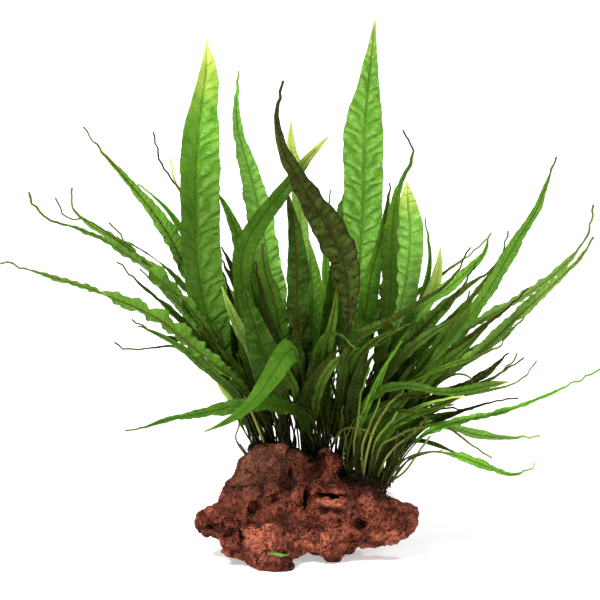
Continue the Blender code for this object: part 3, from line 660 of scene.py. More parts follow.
def blade(rings, look, seed, columns=None, step=None):
    """Points, faces and layers of a thin quilted blade with its stalk, grown along a solid's rings."""
    rng = np.random.default_rng(seed)
    centre, across, half, lift = rings
    widest = half.max()
    if columns is None:
        columns, step = (BROAD_COLUMNS, BROAD_STEP) if widest > BROAD else (MIDDLE_COLUMNS, MIDDLE_STEP)

    def leafiness(at):
        thin = 1 - TAPER * at / (len(centre) - 1)
        return smoothstep(1.02, 1.7, through(half, at) / (STALK / 2 * thin))

    at, run = stations(centre, leafiness, step, STALK_STEP)
    count = len(at)
    share = run / run[-1]
    leafy = leafiness(at)
    soft = leafy[:, None]
    middle = through(centre, at)
    along = unit(np.gradient(middle, run, axis=0))
    sideways = through(across, at)
    sideways = unit(sideways - along * (sideways * along).sum(1, keepdims=True))
    facing = np.cross(sideways, along)
    thin = 1 - TAPER * share
    width = np.maximum(through(half, at), 0)
    raised = through(lift, at) * look.fold
    narrowing = 1 - 0.55 * smoothstep(0.75, 1.0, share)
    rib = np.maximum((0.44 + 0.020 * widest) * thin * narrowing, look.least)
    full = np.clip(width / widest, 0, 1)
    width = np.where(run > run[np.argmax(width)], widest * full ** look.blunt, width)
    width = np.sqrt(np.maximum(width ** 2 - (STALK / 2 * thin) ** 2, 0) + rib ** 2)

    def wave(*lengths, size=1.0):
        """A smooth wander along the blade, made of waves of about these lengths."""
        total = np.zeros(count)
        for long in lengths:
            total += np.sin(2 * np.pi * run / (long * rng.uniform(0.85, 1.15)) + rng.uniform(0, 6.28))
        return total * size / len(lengths)

    # How the blade turns and wanders about its line
    lively = leafy * look.ruffle
    twist = lively * wave(64, 39, size=math.radians(5)) + leafy * wave(34, 21, size=math.radians(look.twist))
    turn, tilt = np.cos(twist)[:, None], np.sin(twist)[:, None]
    sideways, facing = sideways * turn + facing * tilt, facing * turn - sideways * tilt
    off = look.rib * width * leafy
    curl = smoothstep(0.72, 0.95, share) * look.ruffle * (1 - leafy)
    off_line = (curl * wave(7, 12, size=0.55))[:, None]
    middle = middle + sideways * (off[:, None] + off_line) + facing * (curl * wave(8, 13, size=0.55))[:, None]

    # Where its columns of points lie across it
    m = len(columns) - 1
    round_columns = np.sin(np.pi / 2 * np.arange(m + 1) / m)
    shares = soft * columns + (1 - soft) * round_columns
    sides = np.concatenate([-shares[:, :0:-1], shares], axis=1)
    edge = np.abs(sides)
    left = sides < 0

    def halves(one, two):
        """The first along the blade's left half, and the second along its right."""
        return np.where(left, one[:, None], two[:, None])

    nibble = 0.016 if widest > 7 else 0.03
    sway = 1 + lively * wave(17, 11, size=0.08) + leafy * wave(3.1, 4.7, 2.2, size=nibble)
    wide_left = (width + off) * sway
    sway = 1 + lively * wave(19, 12, size=0.08) + leafy * wave(3.4, 4.4, 2.4, size=nibble)
    wide_right = (width - off) * sway
    for wide, own in ((wide_left, look.left), (wide_right, look.right)):
        if own:
            wide *= np.interp(share, *zip(*own))
    x = sides * halves(wide_left, wide_right)

    # Its side veins, and the puffs between them
    jitter = halves(wave(23, 37, 9, size=0.42), wave(21, 33, 8, size=0.42))
    jitter += halves(wave(13, 29, size=0.30), wave(15, 26, size=0.30)) * edge
    phase = (run[:, None] - look.lean * np.abs(x) * (1 - 0.25 * edge)) / look.pitch + jitter + 40
    phase = phase + np.where(left, 0.5, 0.0) + np.where(sides == 0, 0.25, 0.0)
    turn = phase % 1
    puff = (4 * turn * (1 - turn)) ** 0.7 - 0.5
    swell = rng.uniform(0.55, 1.35, 400)[(phase.astype(int) * 2 + left) % 400]
    reach = smoothstep(0.03, 0.24, edge) * (1 - 0.7 * smoothstep(0.74, 1.0, edge))
    # The smooth left half has less quilt and less painted pale sheen
    left_calm_shaded = np.where(left, 1 - look.calm, 1.0)
    depth = look.quilt * np.clip(0.115 * width, 0, 1.0)[:, None] * left_calm_shaded
    x = x * (1 + 0.02 * puff * edge ** 4 * soft)
    y = run[:, None]
    lump = (np.sin(1.25 * x + 0.95 * y + seed) * np.sin(0.85 * x - 1.30 * y + 2 * seed)
            + 0.8 * np.sin(2.1 * x - 0.55 * y + 3 * seed) * np.sin(0.4 * x + 2.2 * y))
    sheet = soft * depth * (puff * swell + 0.22 * lump) * reach

    # The ruffle of its edge, the fold of its halves, its thickness and its rib
    frill = halves(wave(10.5, 15), wave(11.5, 16))
    frill += 0.45 * halves(wave(4.9), wave(5.3))
    sheet = sheet + lively[:, None] * np.clip(0.17 * width, 0, 1.25)[:, None] * frill * edge ** 2.2
    sheet = sheet + raised[:, None] * edge ** 1.15
    rib = rib[:, None]
    body = 0.15 * (1 - 0.5 * edge ** 4) * np.sqrt(np.clip(1 - edge ** 8, 0, 1))
    mound = np.exp(-(x / (rib * 0.9)) ** 2)
    bulge = np.sqrt(np.clip(1 - (x / np.maximum(rib * 1.001, 1e-6)) ** 2, 0, 1)) * rib
    bulge = bulge * (1 + 0.12 * wave(5.1, 7.3)[:, None])
    front = (1 - soft) * bulge + soft * (body - 0.12 * mound)
    back = (1 - soft) * bulge + soft * (body + rib * 0.7 * mound)

    def spots(height, keep):
        out = facing[:, None] * height[:, keep, None]
        return middle[:, None] + sideways[:, None] * x[:, keep, None] + out

    every = np.arange(2 * m + 1)
    inner = every[1:-1][::-1]
    order = np.concatenate([every, inner])
    points = np.concatenate([spots(sheet + front, every), spots(sheet - back, inner)], axis=1).reshape(-1, 3)
    points = np.concatenate([points, [middle[0], middle[-1] + along[-1] * 0.4]])

    def layer(a, b, c):
        made = np.stack(np.broadcast_arrays(a, b, c, sides)[:3], axis=2)[:, order].reshape(-1, 3)
        return np.concatenate([made, made[:1], made[-1:]])

    layers = {
        "blade": layer(sides, share[:, None], phase),
        "spot": layer(x, y, soft),
        # Tone, darkened by painted shade on the smooth left half
        "kind": layer(look.tone * np.where(left, 1 - 0.46 * look.calm, 1.0), (seed % 97) / 97, look.rust),
        "young": layer(look.young, look.tip, look.warm),
        "air": layer(painted_shade(middle, share, look)[:, None], look.pale * left_calm_shaded, look.quilt * left_calm_shaded),
    }
    return points, tube_faces(count, len(order)), layers


def together(blades):
    """Several blades' points, faces and layers as one."""
    points, faces, layers, first = [], [], {}, 0
    for spots, sides, named in blades:
        points.append(spots)
        faces += [tuple(first + i for i in face) for face in sides]
        for key, values in named.items():
            layers.setdefault(key, []).append(values)
        first += len(spots)
    return np.concatenate(points), faces, {key: np.concatenate(values) for key, values in layers.items()}


def joined(group, made, skins):
    """One piece for each skin that the blades of this group were made in."""
    for skin, blades in made.items():
        piece = mesh_object(f"{group}_{skin}", *together(blades), skins[skin])
        settle(piece)


def colour_setting(name, description, default):
    """A colour that can be changed in the panel."""
    return FloatVectorProperty(name=name, description=description, subtype="COLOR", default=default)


class FernFronds(PropertyGroup):
    """Colours of the fronds, and how many there are beside the solids."""

    bright: colour_setting("Bright green", "Colour of a grown frond", (0.050, 0.218, 0.005))
    bright_light: colour_setting(
        "Bright puffs", "Colour of a grown frond between its veins", (0.120, 0.340, 0.018))
    green: colour_setting("Green", "Colour of an older frond", (0.032, 0.118, 0.003))
    green_light: colour_setting(
        "Green puffs", "Colour of an older frond between its veins", (0.068, 0.200, 0.010))
    shade: colour_setting("Veins", "Colour of veins and of blades deep in the plant", (0.012, 0.042, 0.002))
    lime: colour_setting("Lime", "Colour of a young tip", (0.62, 0.74, 0.13))
    stalk: colour_setting("Stalk", "Colour of the stalks", (0.056, 0.042, 0.009))
    pitch: FloatProperty(
        name="Vein spacing", description="Distance between side veins of a broad frond, in mm",
        default=6.8, min=2.0, max=9.0)
    fillers: IntProperty(
        name="Inner fronds", description="How many small fronds fill the plant", default=100, min=0)
    sprouts: IntProperty(
        name="Sprouts", description="How many short fronds stand low round the stem", default=60, min=0)
    stalks: IntProperty(
        name="Bare stalks", description="How many bare stalks crowd the foot of the plant",
        default=150, min=0)


def both(*stops):
    """The same widths for both halves of a blade."""
    return {"left": stops, "right": stops}


# Each kind's usual look, before it varies from frond to frond
USUAL = {
    "frond_bright": Look("bright", 1, 1.05, 0.40, 0.7, 6, 0, 1.0, 1.0, 0.25, 0.92, 0.5, 0.10),
    "frond_green": Look("green", 1, 0.8, 0.30, 1.1, 14, 0, 1.0, 0.95, 0.8, 0.93, -0.3, 0.10),
    "frond_dark": Look("dark", 1, 0.75, 0.30, 1.0, 12, 0, 1.0, 0.9, 0.9, 0.95, -0.5, 0.0),
    "frond_lime": Look("lime", 1, 0.75, 0.35, 0.5, 5, 0, 1.0, 1.0, 0.05, 0.72, 1.0, 0.0),
    "frond_old": Look("old", 1, 0.6, 0.8, 1.2, 8, 0, 1.2, 1.0, 0.3, 0.85, -0.8, 0.0),
}

# What the fronds that can be told apart in the photograph have of their own
OWN = {
    "frond_01": dict(rib=-0.15, fold=1.6, ruffle=0.35, twist=2, young=0.82, tip=1.0, tone=1.25, rust=0.03,
                     warm=0.05, quilt=1.25, blunt=1.0, calm=0.66, pale=0.12, dim=0.6, lit_from=0.84,
                     left=((0.6, 1), (0.72, 1.06), (0.79, 1.18), (0.83, 1.08), (0.88, 0.97), (1, 1)),
                     right=((0.86, 1), (0.92, 1.12), (0.97, 1.3), (1, 1))),
    "frond_02": dict(rib=0.04, fold=0.8, ruffle=0.35, twist=2, young=0.90, tip=0.6, tone=1.10, rust=0.12,
                     pale=0.26, least=0.85, shaded=0.1, quilt=1.2, blunt=1.0,
                     left=((0.30, 0.5), (0.42, 0.45), (0.50, 0.8), (0.56, 1), (0.68, 0.97), (0.72, 1.06),
                           (0.8, 1.05), (0.86, 0.92), (1, 1)),
                     right=((0.30, 0.5), (0.42, 0.45), (0.50, 0.8), (0.56, 1), (1, 1))),
    "frond_03": dict(ruffle=1.2, twist=4, quilt=0.9, lean=0.5, blunt=0.7, least=0.7, tone=1.0,
                     **both((0.30, 0.30), (0.39, 0.42), (0.46, 0.62), (0.53, 0.9), (0.60, 1), (1, 1))),
    "frond_04": dict(skin="bright", tone=1.6, ruffle=0.9, twist=6, young=0.95, rust=0.10, pale=0.42,
                     blunt=0.66, least=0.42, quilt=0.6),
    "frond_05": dict(skin="green", tone=0.62, ruffle=0.5, twist=4, young=0.85, tip=0.6, warm=0.05, blunt=0.6,
                     rust=0.2, dim=0.7, **both((0.30, 0.4), (0.50, 0.6), (0.60, 1), (1, 1))),
    "frond_06": dict(tone=1.0, dim=0.75, lit_from=0.84, young=0.84, tip=-0.95, rust=0.15, twist=8, blunt=0.7,
                     least=0.5),
    "frond_07": dict(skin="bright", young=0.85, tip=1.0, quilt=0.8, rust=0.12, tone=1.9, pale=0.5, dim=0.5,
                     lit_from=0.76, least=0.5),
    "frond_08": dict(tone=1.7, dim=0.6, young=0.66, tip=1.0, pale=0.4, warm=0.0),
    "frond_09": dict(skin="bright", tone=0.7, dim=0.5),
    "frond_10": dict(tone=1.5),
    "frond_11": dict(tone=1.05, young=0.7, tip=0.8, dim=0.5),
    "frond_12": dict(tone=0.95),
    "frond_13": dict(skin="bright", dim=0.75, tone=1.0, twist=10, pale=0.12, tip=-0.3, quilt=0.5),
    "frond_14": dict(ruffle=2.0, twist=30, tone=1.3, pale=0.15, least=0.62, tip=-0.6),
    "frond_15": dict(ruffle=1.8, twist=26, tone=1.5, pale=0.2, warm=0.25, least=0.6, tip=-0.3),
    "frond_16": dict(ruffle=1.6, twist=26, tone=1.55),
    "frond_17": dict(ruffle=2.0, twist=16, tone=1.3, rust=0.9, pale=0.1, least=0.55, tip=-0.2,
                     **both((0.10, 0.5), (0.34, 0.55), (0.48, 1), (1, 1))),
    "frond_18": dict(ruffle=1.5, twist=12),
    "frond_19": dict(ruffle=1.1, twist=10, tone=0.50, rust=0.1, tip=-0.1, shaded=0.0, dim=0.7),
    "frond_20": dict(ruffle=0.45, twist=3, tone=0.52, rust=0.1, quilt=0.18, tip=0.2, shaded=0.0,
                     **both((0.50, 0.10), (0.565, 0.16), (0.585, 1.15), (0.68, 1.25), (1, 1))),
    "frond_21": dict(tone=1.2, warm=0.8, shaded=0.0),
    "frond_22": dict(tone=1.1, dim=0.85),
    "frond_23": dict(dim=0.6),
    "frond_24": dict(tone=0.62, dim=0.6, tip=0.3),
    "frond_25": dict(dim=0.4),
    "frond_26": dict(dim=0.95),
    "frond_27": dict(tone=0.5, dim=1.0, tip=0.0),
    "frond_28": dict(tone=2.1),
    "frond_30": dict(tone=1.45, pale=0.15, dim=0.6),
    "frond_31": dict(tone=1.0, pale=0.15, tip=-0.4, least=0.5, dim=1.0),
    "frond_32": dict(tone=1.35, dim=1.0),
    "frond_33": dict(ruffle=1.2, twist=14, tone=0.72, pale=0.15, young=0.93, tip=-0.7, least=0.5, dim=0.55),
    "frond_34": dict(tone=1.4, pale=0.2, least=0.5),
    "frond_35": dict(ruffle=1.3, twist=16, tone=1.45, rust=0.6, pale=0.4, least=0.6, tip=-0.5),
    "frond_36": dict(tone=1.6, pale=0.35, least=0.6, tip=-0.4),
    "frond_37": dict(dim=0.6),
    "frond_38": dict(ruffle=1.0, twist=12, tone=0.38, warm=0.2, tip=0.2, shaded=0.5, dim=0.5),
    "frond_39": dict(tone=1.3, pale=0.1, least=0.4, dim=1.0, lit_from=0.74, shaded=0.3),
    "frond_40": dict(ruffle=1.6, twist=14, tone=1.5, young=0.8, tip=-0.3, pale=0.1, least=0.5, shaded=0.3),
    "frond_41": dict(ruffle=1.2, twist=12, tone=2.0, warm=0.2, pale=0.5, least=0.5, shaded=0.2),
    "frond_42": dict(ruffle=1.6, twist=16, tone=1.15, warm=0.1, pale=0.1, least=0.5, shaded=0.3),
    "frond_44": dict(tone=0.7, pale=0.2, dim=1.0, lit_from=0.8, shaded=0.6),
    "frond_45": dict(dim=0.9),
    "frond_46": dict(tone=0.65),
}

# Small fronds past the solids, read from the front like the large ones: skin, place of the foot along the
# creeping stem, width, shape, turn at foot and tip, and route (across, up, depth)
Small = namedtuple("Small", "skin foot width shape face route")
WISP = (0.30, 0.50, 0.66, 1.3)
LEAF = (0.25, 0.45, 0.62, 1.2)
SMALL = [
    Small("green", 0.02, 3.6, WISP, (30, 50), [(-38, 88, 8), (-55, 118, -4), (-72, 140, -12),
          (-88, 155, -18), (-104, 167, -22), (-113, 172, -24), (-121, 172.5, -25), (-124.5, 176, -26),
          (-126, 182, -26)]),
    Small("old", 0.16, 1.6, WISP, (0, 0), [(-30, 90, 26), (-42, 125, 30), (-52, 158, 32), (-60, 180, 33),
          (-67, 190, 33), (-73, 198, 34), (-75.5, 206, 34), (-77, 215, 34)]),
    Small("lime", 0.18, 3.4, WISP, (0, 0), [(-28, 92, 26), (-38, 125, 30), (-48, 155, 33), (-57, 174, 34),
          (-63.5, 184, 35), (-68, 195, 35), (-69, 202, 35)]),
    Small("bright", 0.10, 7, LEAF, (20, 30), [(-30, 82, 20), (-40, 110, 14), (-50, 138, 6), (-61, 162, 0),
          (-72, 178, -4), (-85, 189, -7)]),
    Small("green", 0.03, 2.6, WISP, (30, 60), [(-32, 76, 4), (-40, 90, -8), (-52, 101, -18),
          (-65, 107.5, -26), (-79, 107, -32), (-88, 106, -36), (-92, 107, -38), (-97, 109.5, -40)]),
    Small("lime", 0.04, 2.0, WISP, (0, 0), [(-29, 61, 14), (-33, 68, 8), (-36, 76, 4), (-38, 86, 1)]),
    Small("dark", 0.30, 6, LEAF, (10, 0), [(-12, 88, 2), (-18, 112, -4), (-23, 134, -8), (-26.5, 150, -10)]),
    Small("bright", 0.60, 5.5, LEAF, (0, 10), [(9, 92, 30), (9.5, 122, 34), (9, 150, 36), (9, 170, 36),
          (11.5, 186, 36)]),
    Small("bright", 0.92, 5, LEAF, (10, 10), [(40, 82, 22), (50, 110, 26), (58, 135, 28), (61, 152, 28),
          (58.5, 172, 28)]),
    Small("green", 0.90, 5, WISP, (-30, -40), [(41, 74, 4), (54, 94, -2), (68, 113, -8), (81, 131, -13),
          (91, 144, -16), (97, 154, -18), (100, 165.5, -19)]),
    Small("dark", 0.85, 5, LEAF, (-30, -40), [(38, 70, 16), (47, 90, 22), (58, 106, 27), (70, 118, 32),
          (81, 127, 36), (88.5, 136, 39)]),
    Small("bright", 0.97, 2.4, WISP, (-30, -30), [(48, 56, -2), (58, 67, -8), (67, 69, -14), (76, 63, -20),
          (84, 57, -25), (92, 52, -29)]),
    Small("bright", 0.93, 4.6, LEAF, (-40, -40), [(42, 66, 0), (53, 82, -6), (67, 95, -12),
          (83.5, 103.5, -18), (93, 109, -21), (99, 112.5, -23), (102, 117.5, -24)]),
    Small("green", 0.88, 3.4, WISP, (-30, -30), [(42, 68, -4), (52, 80, -10), (62, 88, -15), (71, 93, -19),
          (77, 94, -22), (81, 92, -24), (83.5, 87, -25)]),
    Small("dark", 0.90, 3.4, WISP, (-30, -30), [(40, 72, 10), (51, 91.5, 14), (66.5, 106.5, 19),
          (76.5, 122, 23), (80.5, 133.5, 25)]),
    Small("green", 0.97, 4.0, WISP, (-40, -40), [(36, 70, -14), (48, 88, -22), (71.5, 98.5, -32),
          (86.5, 103.5, -37), (98.5, 110, -41), (101, 115, -42)]),
    Small("dark", 0.93, 4.6, LEAF, (-35, -35), [(42, 74, -6), (56, 92, -12), (72, 106, -18), (88, 118, -24),
          (101, 128, -28), (110, 137, -31)]),
    Small("green", 0.87, 3.6, LEAF, (-30, -40), [(38, 76, -10), (50, 96, -16), (63, 112, -21),
          (76, 126, -25), (90, 139, -29)]),
    Small("dark", 0.99, 3.4, LEAF, (-45, -45), [(46, 58, 0), (60, 68, -4), (76, 75, -8), (92, 80, -11),
          (105, 82, -13)]),
    Small("lime", 0.99, 0.9, WISP, (0, 0), [(47, 44, -6), (54, 53, -9), (61, 63, -12)]),
    Small("dark", 0.95, 2.6, WISP, (-20, -20), [(43, 59, 2), (54, 71, 0), (66, 76.5, -2), (78, 76.5, -4)]),
    Small("dark", 0.42, 6, LEAF, (0, 0), [(-2, 76, -8), (1, 88, -18), (6, 96, -24), (12, 103, -28),
          (19, 109, -30)]),
    Small("bright", 0.74, 3.2, WISP, (0, 0), [(28, 66, -14), (32, 77, -20), (35.5, 88, -24), (40, 100, -27),
          (48, 113, -29)]),
    Small("bright", 0.68, 3.0, WISP, (0, 0), [(23, 61, -12), (27, 71, -19), (32, 84, -25), (38, 97, -29),
          (47, 110, -32)]),
    Small("lime", 0.92, 2.8, WISP, (-20, -20), [(36, 60, -12), (43.5, 71, -20), (54, 77, -26), (66, 81, -31),
          (78, 83, -35)]),
    Small("green", 0.80, 5.5, LEAF, (-10, -10), [(33, 62, -12), (40, 72, -20), (46, 79, -26), (53, 86, -31),
          (63, 96, -36)]),
    Small("green", 0.55, 1.5, WISP, (20, 20), [(13, 60, -14), (16, 65, -20), (21, 67, -25), (27, 66, -29),
          (33, 63, -32)]),
    Small("dark", 0.22, 17, (0.34, 0.58, 0.68, 0.9), (-6, 6), [(-14, 70, -10), (-16, 84, -22),
          (-20.5, 100, -30), (-25.5, 115, -33), (-29.5, 127, -33), (-31.5, 137.5, -31)]),
    Small("dark", 0.46, 8.5, LEAF, (0, 10), [(0, 78, -8), (2, 88, -12), (3, 98, -14), (5, 108, -15),
          (9, 116, -15)]),
    Small("green", 0.55, 8, LEAF, (-12, 0), [(5, 84, -2), (9, 104, -4), (13, 124, -5), (15, 140, -5)]),
    Small("green", 0.30, 9, LEAF, (14, 6), [(-13, 80, 4), (-19, 100, 6), (-27, 120, 7), (-36, 138, 6),
          (-44, 152, 4)]),
    Small("dark", 0.66, 6, LEAF, (-14, -10), [(17, 76, -4), (23, 92, -6), (30, 108, -7), (36, 122, -7)]),
    Small("bright", 0.40, 4.4, LEAF, (20, 20), [(-6, 84, -12), (-11, 96, -18), (-15, 104, -22),
          (-21, 108, -25), (-27, 106, -27)]),
    Small("green", 0.50, 5, LEAF, (-10, 0), [(4, 80, -12), (8, 92, -17), (14, 100, -21), (22, 105, -24),
          (31, 107, -26), (41, 112, -27)]),
    Small("green", 0.90, 3.6, WISP, (-40, -40), [(42, 60, -6), (55, 72, -14), (70, 80, -20), (86, 88, -26),
          (98, 96, -30), (105, 104, -32)]),
    Small("green", 0.96, 4.4, LEAF, (-35, -35), [(45, 68, 8), (60, 86, 12), (76, 98, 15), (92, 108, 18),
          (104, 118, 20), (112, 128, 21)]),
    Small("green", 0.86, 4.8, LEAF, (-35, -35), [(40, 80, 8), (50, 100, 9), (62, 118, 10), (72, 130, 11),
          (80, 142, 11), (84, 150, 11)]),
    Small("dark", 0.99, 4.2, LEAF, (-35, -35), [(46, 60, 10), (60, 74, 15), (76, 84, 19), (92, 92, 23),
          (108, 102, 26)]),
    Small("green", 0.10, 5.0, LEAF, (35, 45), [(-33, 80, 2), (-44, 98, -6), (-57, 114, -13), (-70, 127, -18),
          (-84, 139, -22), (-95, 150, -25)]),
    Small("green", 0.06, 4.4, LEAF, (35, 45), [(-34, 84, 14), (-46, 106, 12), (-60, 126, 9), (-74, 142, 6),
          (-88, 156, 4), (-99, 170, 2)]),
    Small("green", 0.92, 1.0, WISP, (0, 0), [(27, 56, -16), (30, 66, -22), (34, 76, -26),
          (37.5, 84.5, -28)]),
    Small("green", 0.95, 1.0, WISP, (0, 0), [(33, 58, -16), (38, 66, -22), (45, 74.5, -27)]),
    Small("green", 0.97, 1.0, WISP, (0, 0), [(36, 57, -14), (43, 62, -20), (52, 66.5, -25),
          (61.5, 68, -29)]),
    Small("green", 0.86, 1.0, WISP, (0, 0), [(23, 58, -16), (25, 70, -24), (26.5, 84, -30), (31, 97, -33)]),
    Small("green", 0.90, 1.0, WISP, (0, 0), [(29, 52, -14), (33, 66, -22), (40, 78, -28), (48, 86, -32)]),
    Small("green", 0.99, 1.0, WISP, (0, 0), [(38, 50, -10), (44, 58, -14), (52, 64, -18), (60, 73, -21)]),
    Small("green", 0.10, 1.0, WISP, (0, 0), [(-23, 62, -4), (-27, 72, -8), (-32, 84, -12)]),
    Small("dark", 0.14, 5.2, LEAF, (30, 40), [(-28, 76, 0), (-37, 90, -8), (-48, 103, -14), (-60, 114, -20),
          (-72, 122, -24)]),
]


# Openings where the backdrop shows between the leaves, seen from the front: lowest and highest across and up
OPENINGS = ((2, 8, 122, 156), (25, 39, 113, 158), (-32, -24, 132, 149), (9, 13, 84, 92), (-12, -9, 84, 96))


def closes_opening(points):
    """Whether a frond along these points would close an opening."""
    across, up = seen_at(points)
    return any(((across > a) & (across < b) & (up > c) & (up < d)).any() for a, b, c, d in OPENINGS)


# Colours of the blades that have none in the panel
BROWN = (0.055, 0.045, 0.012)
YOUNG = (0.15, 0.30, 0.040)
YOUNG_LIGHT = (0.27, 0.44, 0.085)
OLD = (0.024, 0.040, 0.004)
OLD_LIGHT = (0.050, 0.080, 0.010)
OLD_DARK = (0.012, 0.011, 0.004)


def frond_skins(colours):
    """The material of each skin."""
    bright, bright_light, green, green_light, shade, lime, stalk = colours_of(
        colours, "bright", "bright_light", "green", "green_light", "shade", "lime", "stalk")
    # Body, puffs, veins, tip, stalk, the light that comes through, gloss and blotches
    kinds = {
        "bright": (bright, bright_light, tinted(shade, 1.5), lime, stalk, (0.30, 0.66, 0.03), 0.30),
        "green": (green, green_light, shade, lime, stalk, (0.18, 0.46, 0.02)),
        "dark": (tinted(green, 0.36), tinted(green_light, 0.42), tinted(shade, 0.4), BROWN, stalk,
                 (0.08, 0.24, 0.01)),
        "lime": (YOUNG, YOUNG_LIGHT, bright, lime, stalk, (0.55, 0.80, 0.10)),
        "old": (OLD, OLD_LIGHT, OLD_DARK, BROWN, BROWN, (0.06, 0.08, 0.01), 0.16, 0.75),
    }
    return {kind: frond_material(f"frond_{kind}_skin", *paints) for kind, paints in kinds.items()}


def stem_spot(share):
    """The middle of the creeping stem at this share of its run, in millimetres."""
    points = np.array([v.co for v in frame["nodes"]["rhizome"].data.vertices]) / MM
    low, high = points[:, 0].min() + 3, points[:, 0].max() - 3
    weight = np.exp(-((points[:, 0] - (low + (high - low) * share)) / 2.5) ** 2)
    return (points * weight[:, None]).sum(0) / weight.sum()


def seen_at(point):
    """Where a point shows from the front: across and up."""
    ray = point + MIDDLE - EYE
    on_sheet = EYE + ray * (EYE_DISTANCE / (ray @ FORWARD))[..., None]
    return on_sheet[..., 0], on_sheet @ RISE


class FERN_OT_fronds(Operator):
    """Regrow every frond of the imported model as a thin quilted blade"""

    bl_idname = "fern.fronds"
    bl_label = "Fronds"

    def execute(self, context):
        colours = context.scene.fern_fronds
        skins = frond_skins(colours)
        slots = {part["node"]: part["material_slot"] for part in frame["record"]["subparts"]}
        layout_seed, blade_seed = SOLID_SEEDS
        solids = {}
        for number, node in enumerate(sorted(n for n in frame["nodes"] if n.startswith("frond_")), 1):
            solids[node] = rings = solid_rings(node)
            rng = np.random.default_rng(layout_seed + number)
            look = self.look(USUAL[slots[node]], rings[2].max(), colours.pitch, rng)
            look = look._replace(**OWN.get(node, {}))
            made = blade(rings, look, blade_seed + number)
            piece = mesh_object(f"{node}_blade", *made, skins[look.skin])
            settle(piece, [node])
        self.small_fronds(skins, colours.pitch)
        self.inner_fronds(solids, skins, colours)
        self.sprouts(skins, colours)
        self.bare_stalks(solids, skins, colours)
        return {"FINISHED"}

    def look(self, usual, half, pitch, rng):
        """A kind's usual look, varied, with its veins spaced to suit its width."""
        return usual._replace(
            pitch=pitch * float(np.clip(half / 9.5, 0.5, 1.05)) * rng.uniform(0.9, 1.1),
            lean=usual.lean * rng.uniform(0.8, 1.2),
            rib=rng.uniform(-0.12, 0.12),
            ruffle=usual.ruffle * rng.uniform(0.8, 1.3),
            tone=usual.tone * rng.uniform(0.72, 1.08),
            rust=min(1.0, usual.rust * rng.uniform(0.1, 1.6)),
            warm=usual.warm * rng.uniform(0, 2.5))

    def one_of_crowd(self, points, width, shape, turns, odds, pitch, rng):
        """Rings and look of a small frond inside the plant, turned and coloured by chance."""
        turn = rng.normal(0, turns[0])
        rings = frond_rings(points, width, shape, (turn, turn + rng.normal(0, turns[1])), rng.uniform(6, 18))
        kind = rng.choice(["frond_green", "frond_dark", "frond_bright"], p=odds)
        return rings, self.look(USUAL[kind], width / 2, pitch, rng)

    def small_fronds(self, skins, pitch):
        """The small fronds that the photograph shows beside the large ones."""
        layout_seed, blade_seed = SMALL_SEEDS
        made = {}
        for number, small in enumerate(SMALL):
            rng = np.random.default_rng(layout_seed + number)
            foot = stem_spot(small.foot)
            route = np.array([place(*spot) for spot in small.route])
            points = even_run(np.array([foot, *route]), 17)
            rings = frond_rings(points, small.width, small.shape, small.face, 12)
            look = self.look(USUAL[f"frond_{small.skin}"], small.width / 2, pitch, rng)
            if small.skin != "lime":
                tone = look.tone * rng.uniform(0.75, 1.25)
                look = look._replace(tip=min(look.tip, 0.0), dim=0.6, tone=tone)
            if small.width < 1.2:
                look = look._replace(warm=rng.uniform(0.5, 0.9), pale=0.3, young=1.0, dim=0.0, shaded=0.0,
                                     least=rng.uniform(0.4, 0.6))
            columns = MIDDLE_COLUMNS if small.width > 4.2 else NARROW_COLUMNS
            grown = blade(rings, look, blade_seed + number, columns, SMALL_STEP)
            made.setdefault(small.skin, []).append(grown)
        joined("small_fronds", made, skins)

    def inner_fronds(self, solids, skins, colours):
        """Small fronds that fill the plant between the large ones, each grown between two neighbours."""
        layout_seed, blade_seed = INNER_SEEDS
        rng = np.random.default_rng(layout_seed)
        names = sorted(solids)
        tips = np.array([solids[n][0][-1] for n in names])
        feet = np.array([solids[n][0][0] for n in names])
        made = {}
        for number in range(colours.fillers):
            one = number % len(names)
            apart = np.linalg.norm(tips - tips[one], axis=1) + 1.5 * np.linalg.norm(feet - feet[one], axis=1)
            two = int(rng.choice(np.argsort(apart)[1:5]))
            if apart[two] > 95:
                continue
            mixed = rng.uniform(0.3, 0.7)
            line = solids[names[one]][0] * (1 - mixed) + solids[names[two]][0] * mixed
            across, up = seen_at(line[-1])
            reach = rng.uniform(0.48, 0.70) if up < 150 else rng.uniform(0.42, 0.64)
            points = even_run(through(line, np.linspace(0, (len(line) - 1) * reach, 9)), 15)
            share = np.linspace(0, 1, len(points))[:, None]
            bend = rng.normal(0, 4.5, 3) * (1, 1, 0.6)
            points = points + bend * share ** 2 + rng.normal(0, 2.2, 3) * np.sin(share * np.pi)
            points[:, 2] = np.maximum(points[:, 2], 36 * share[:, 0])
            if closes_opening(points):
                continue
            width = rng.uniform(3.2, 8.0) if rng.random() < 0.7 else rng.uniform(6, 10)
            if across > 30 and up < 125:
                width = width * 0.5
            shape = (rng.uniform(0.15, 0.35), rng.uniform(0.42, 0.55),
                     rng.uniform(0.6, 0.8), rng.uniform(0.8, 1.6))
            rings, look = self.one_of_crowd(points, width, shape, (32, 18), (0.52, 0.38, 0.10),
                                            colours.pitch, rng)
            # Painted shade: fronds inside the plant get a darker tone, and shade painted on their lower part
            look = look._replace(tone=look.tone * rng.uniform(0.55, 1.0), dim=0.7, tip=min(look.tip, 0.0))
            grown = blade(rings, look, blade_seed + number, NARROW_COLUMNS, CROWD_STEP)
            made.setdefault(look.skin, []).append(grown)
        joined("inner_fronds", made, skins)

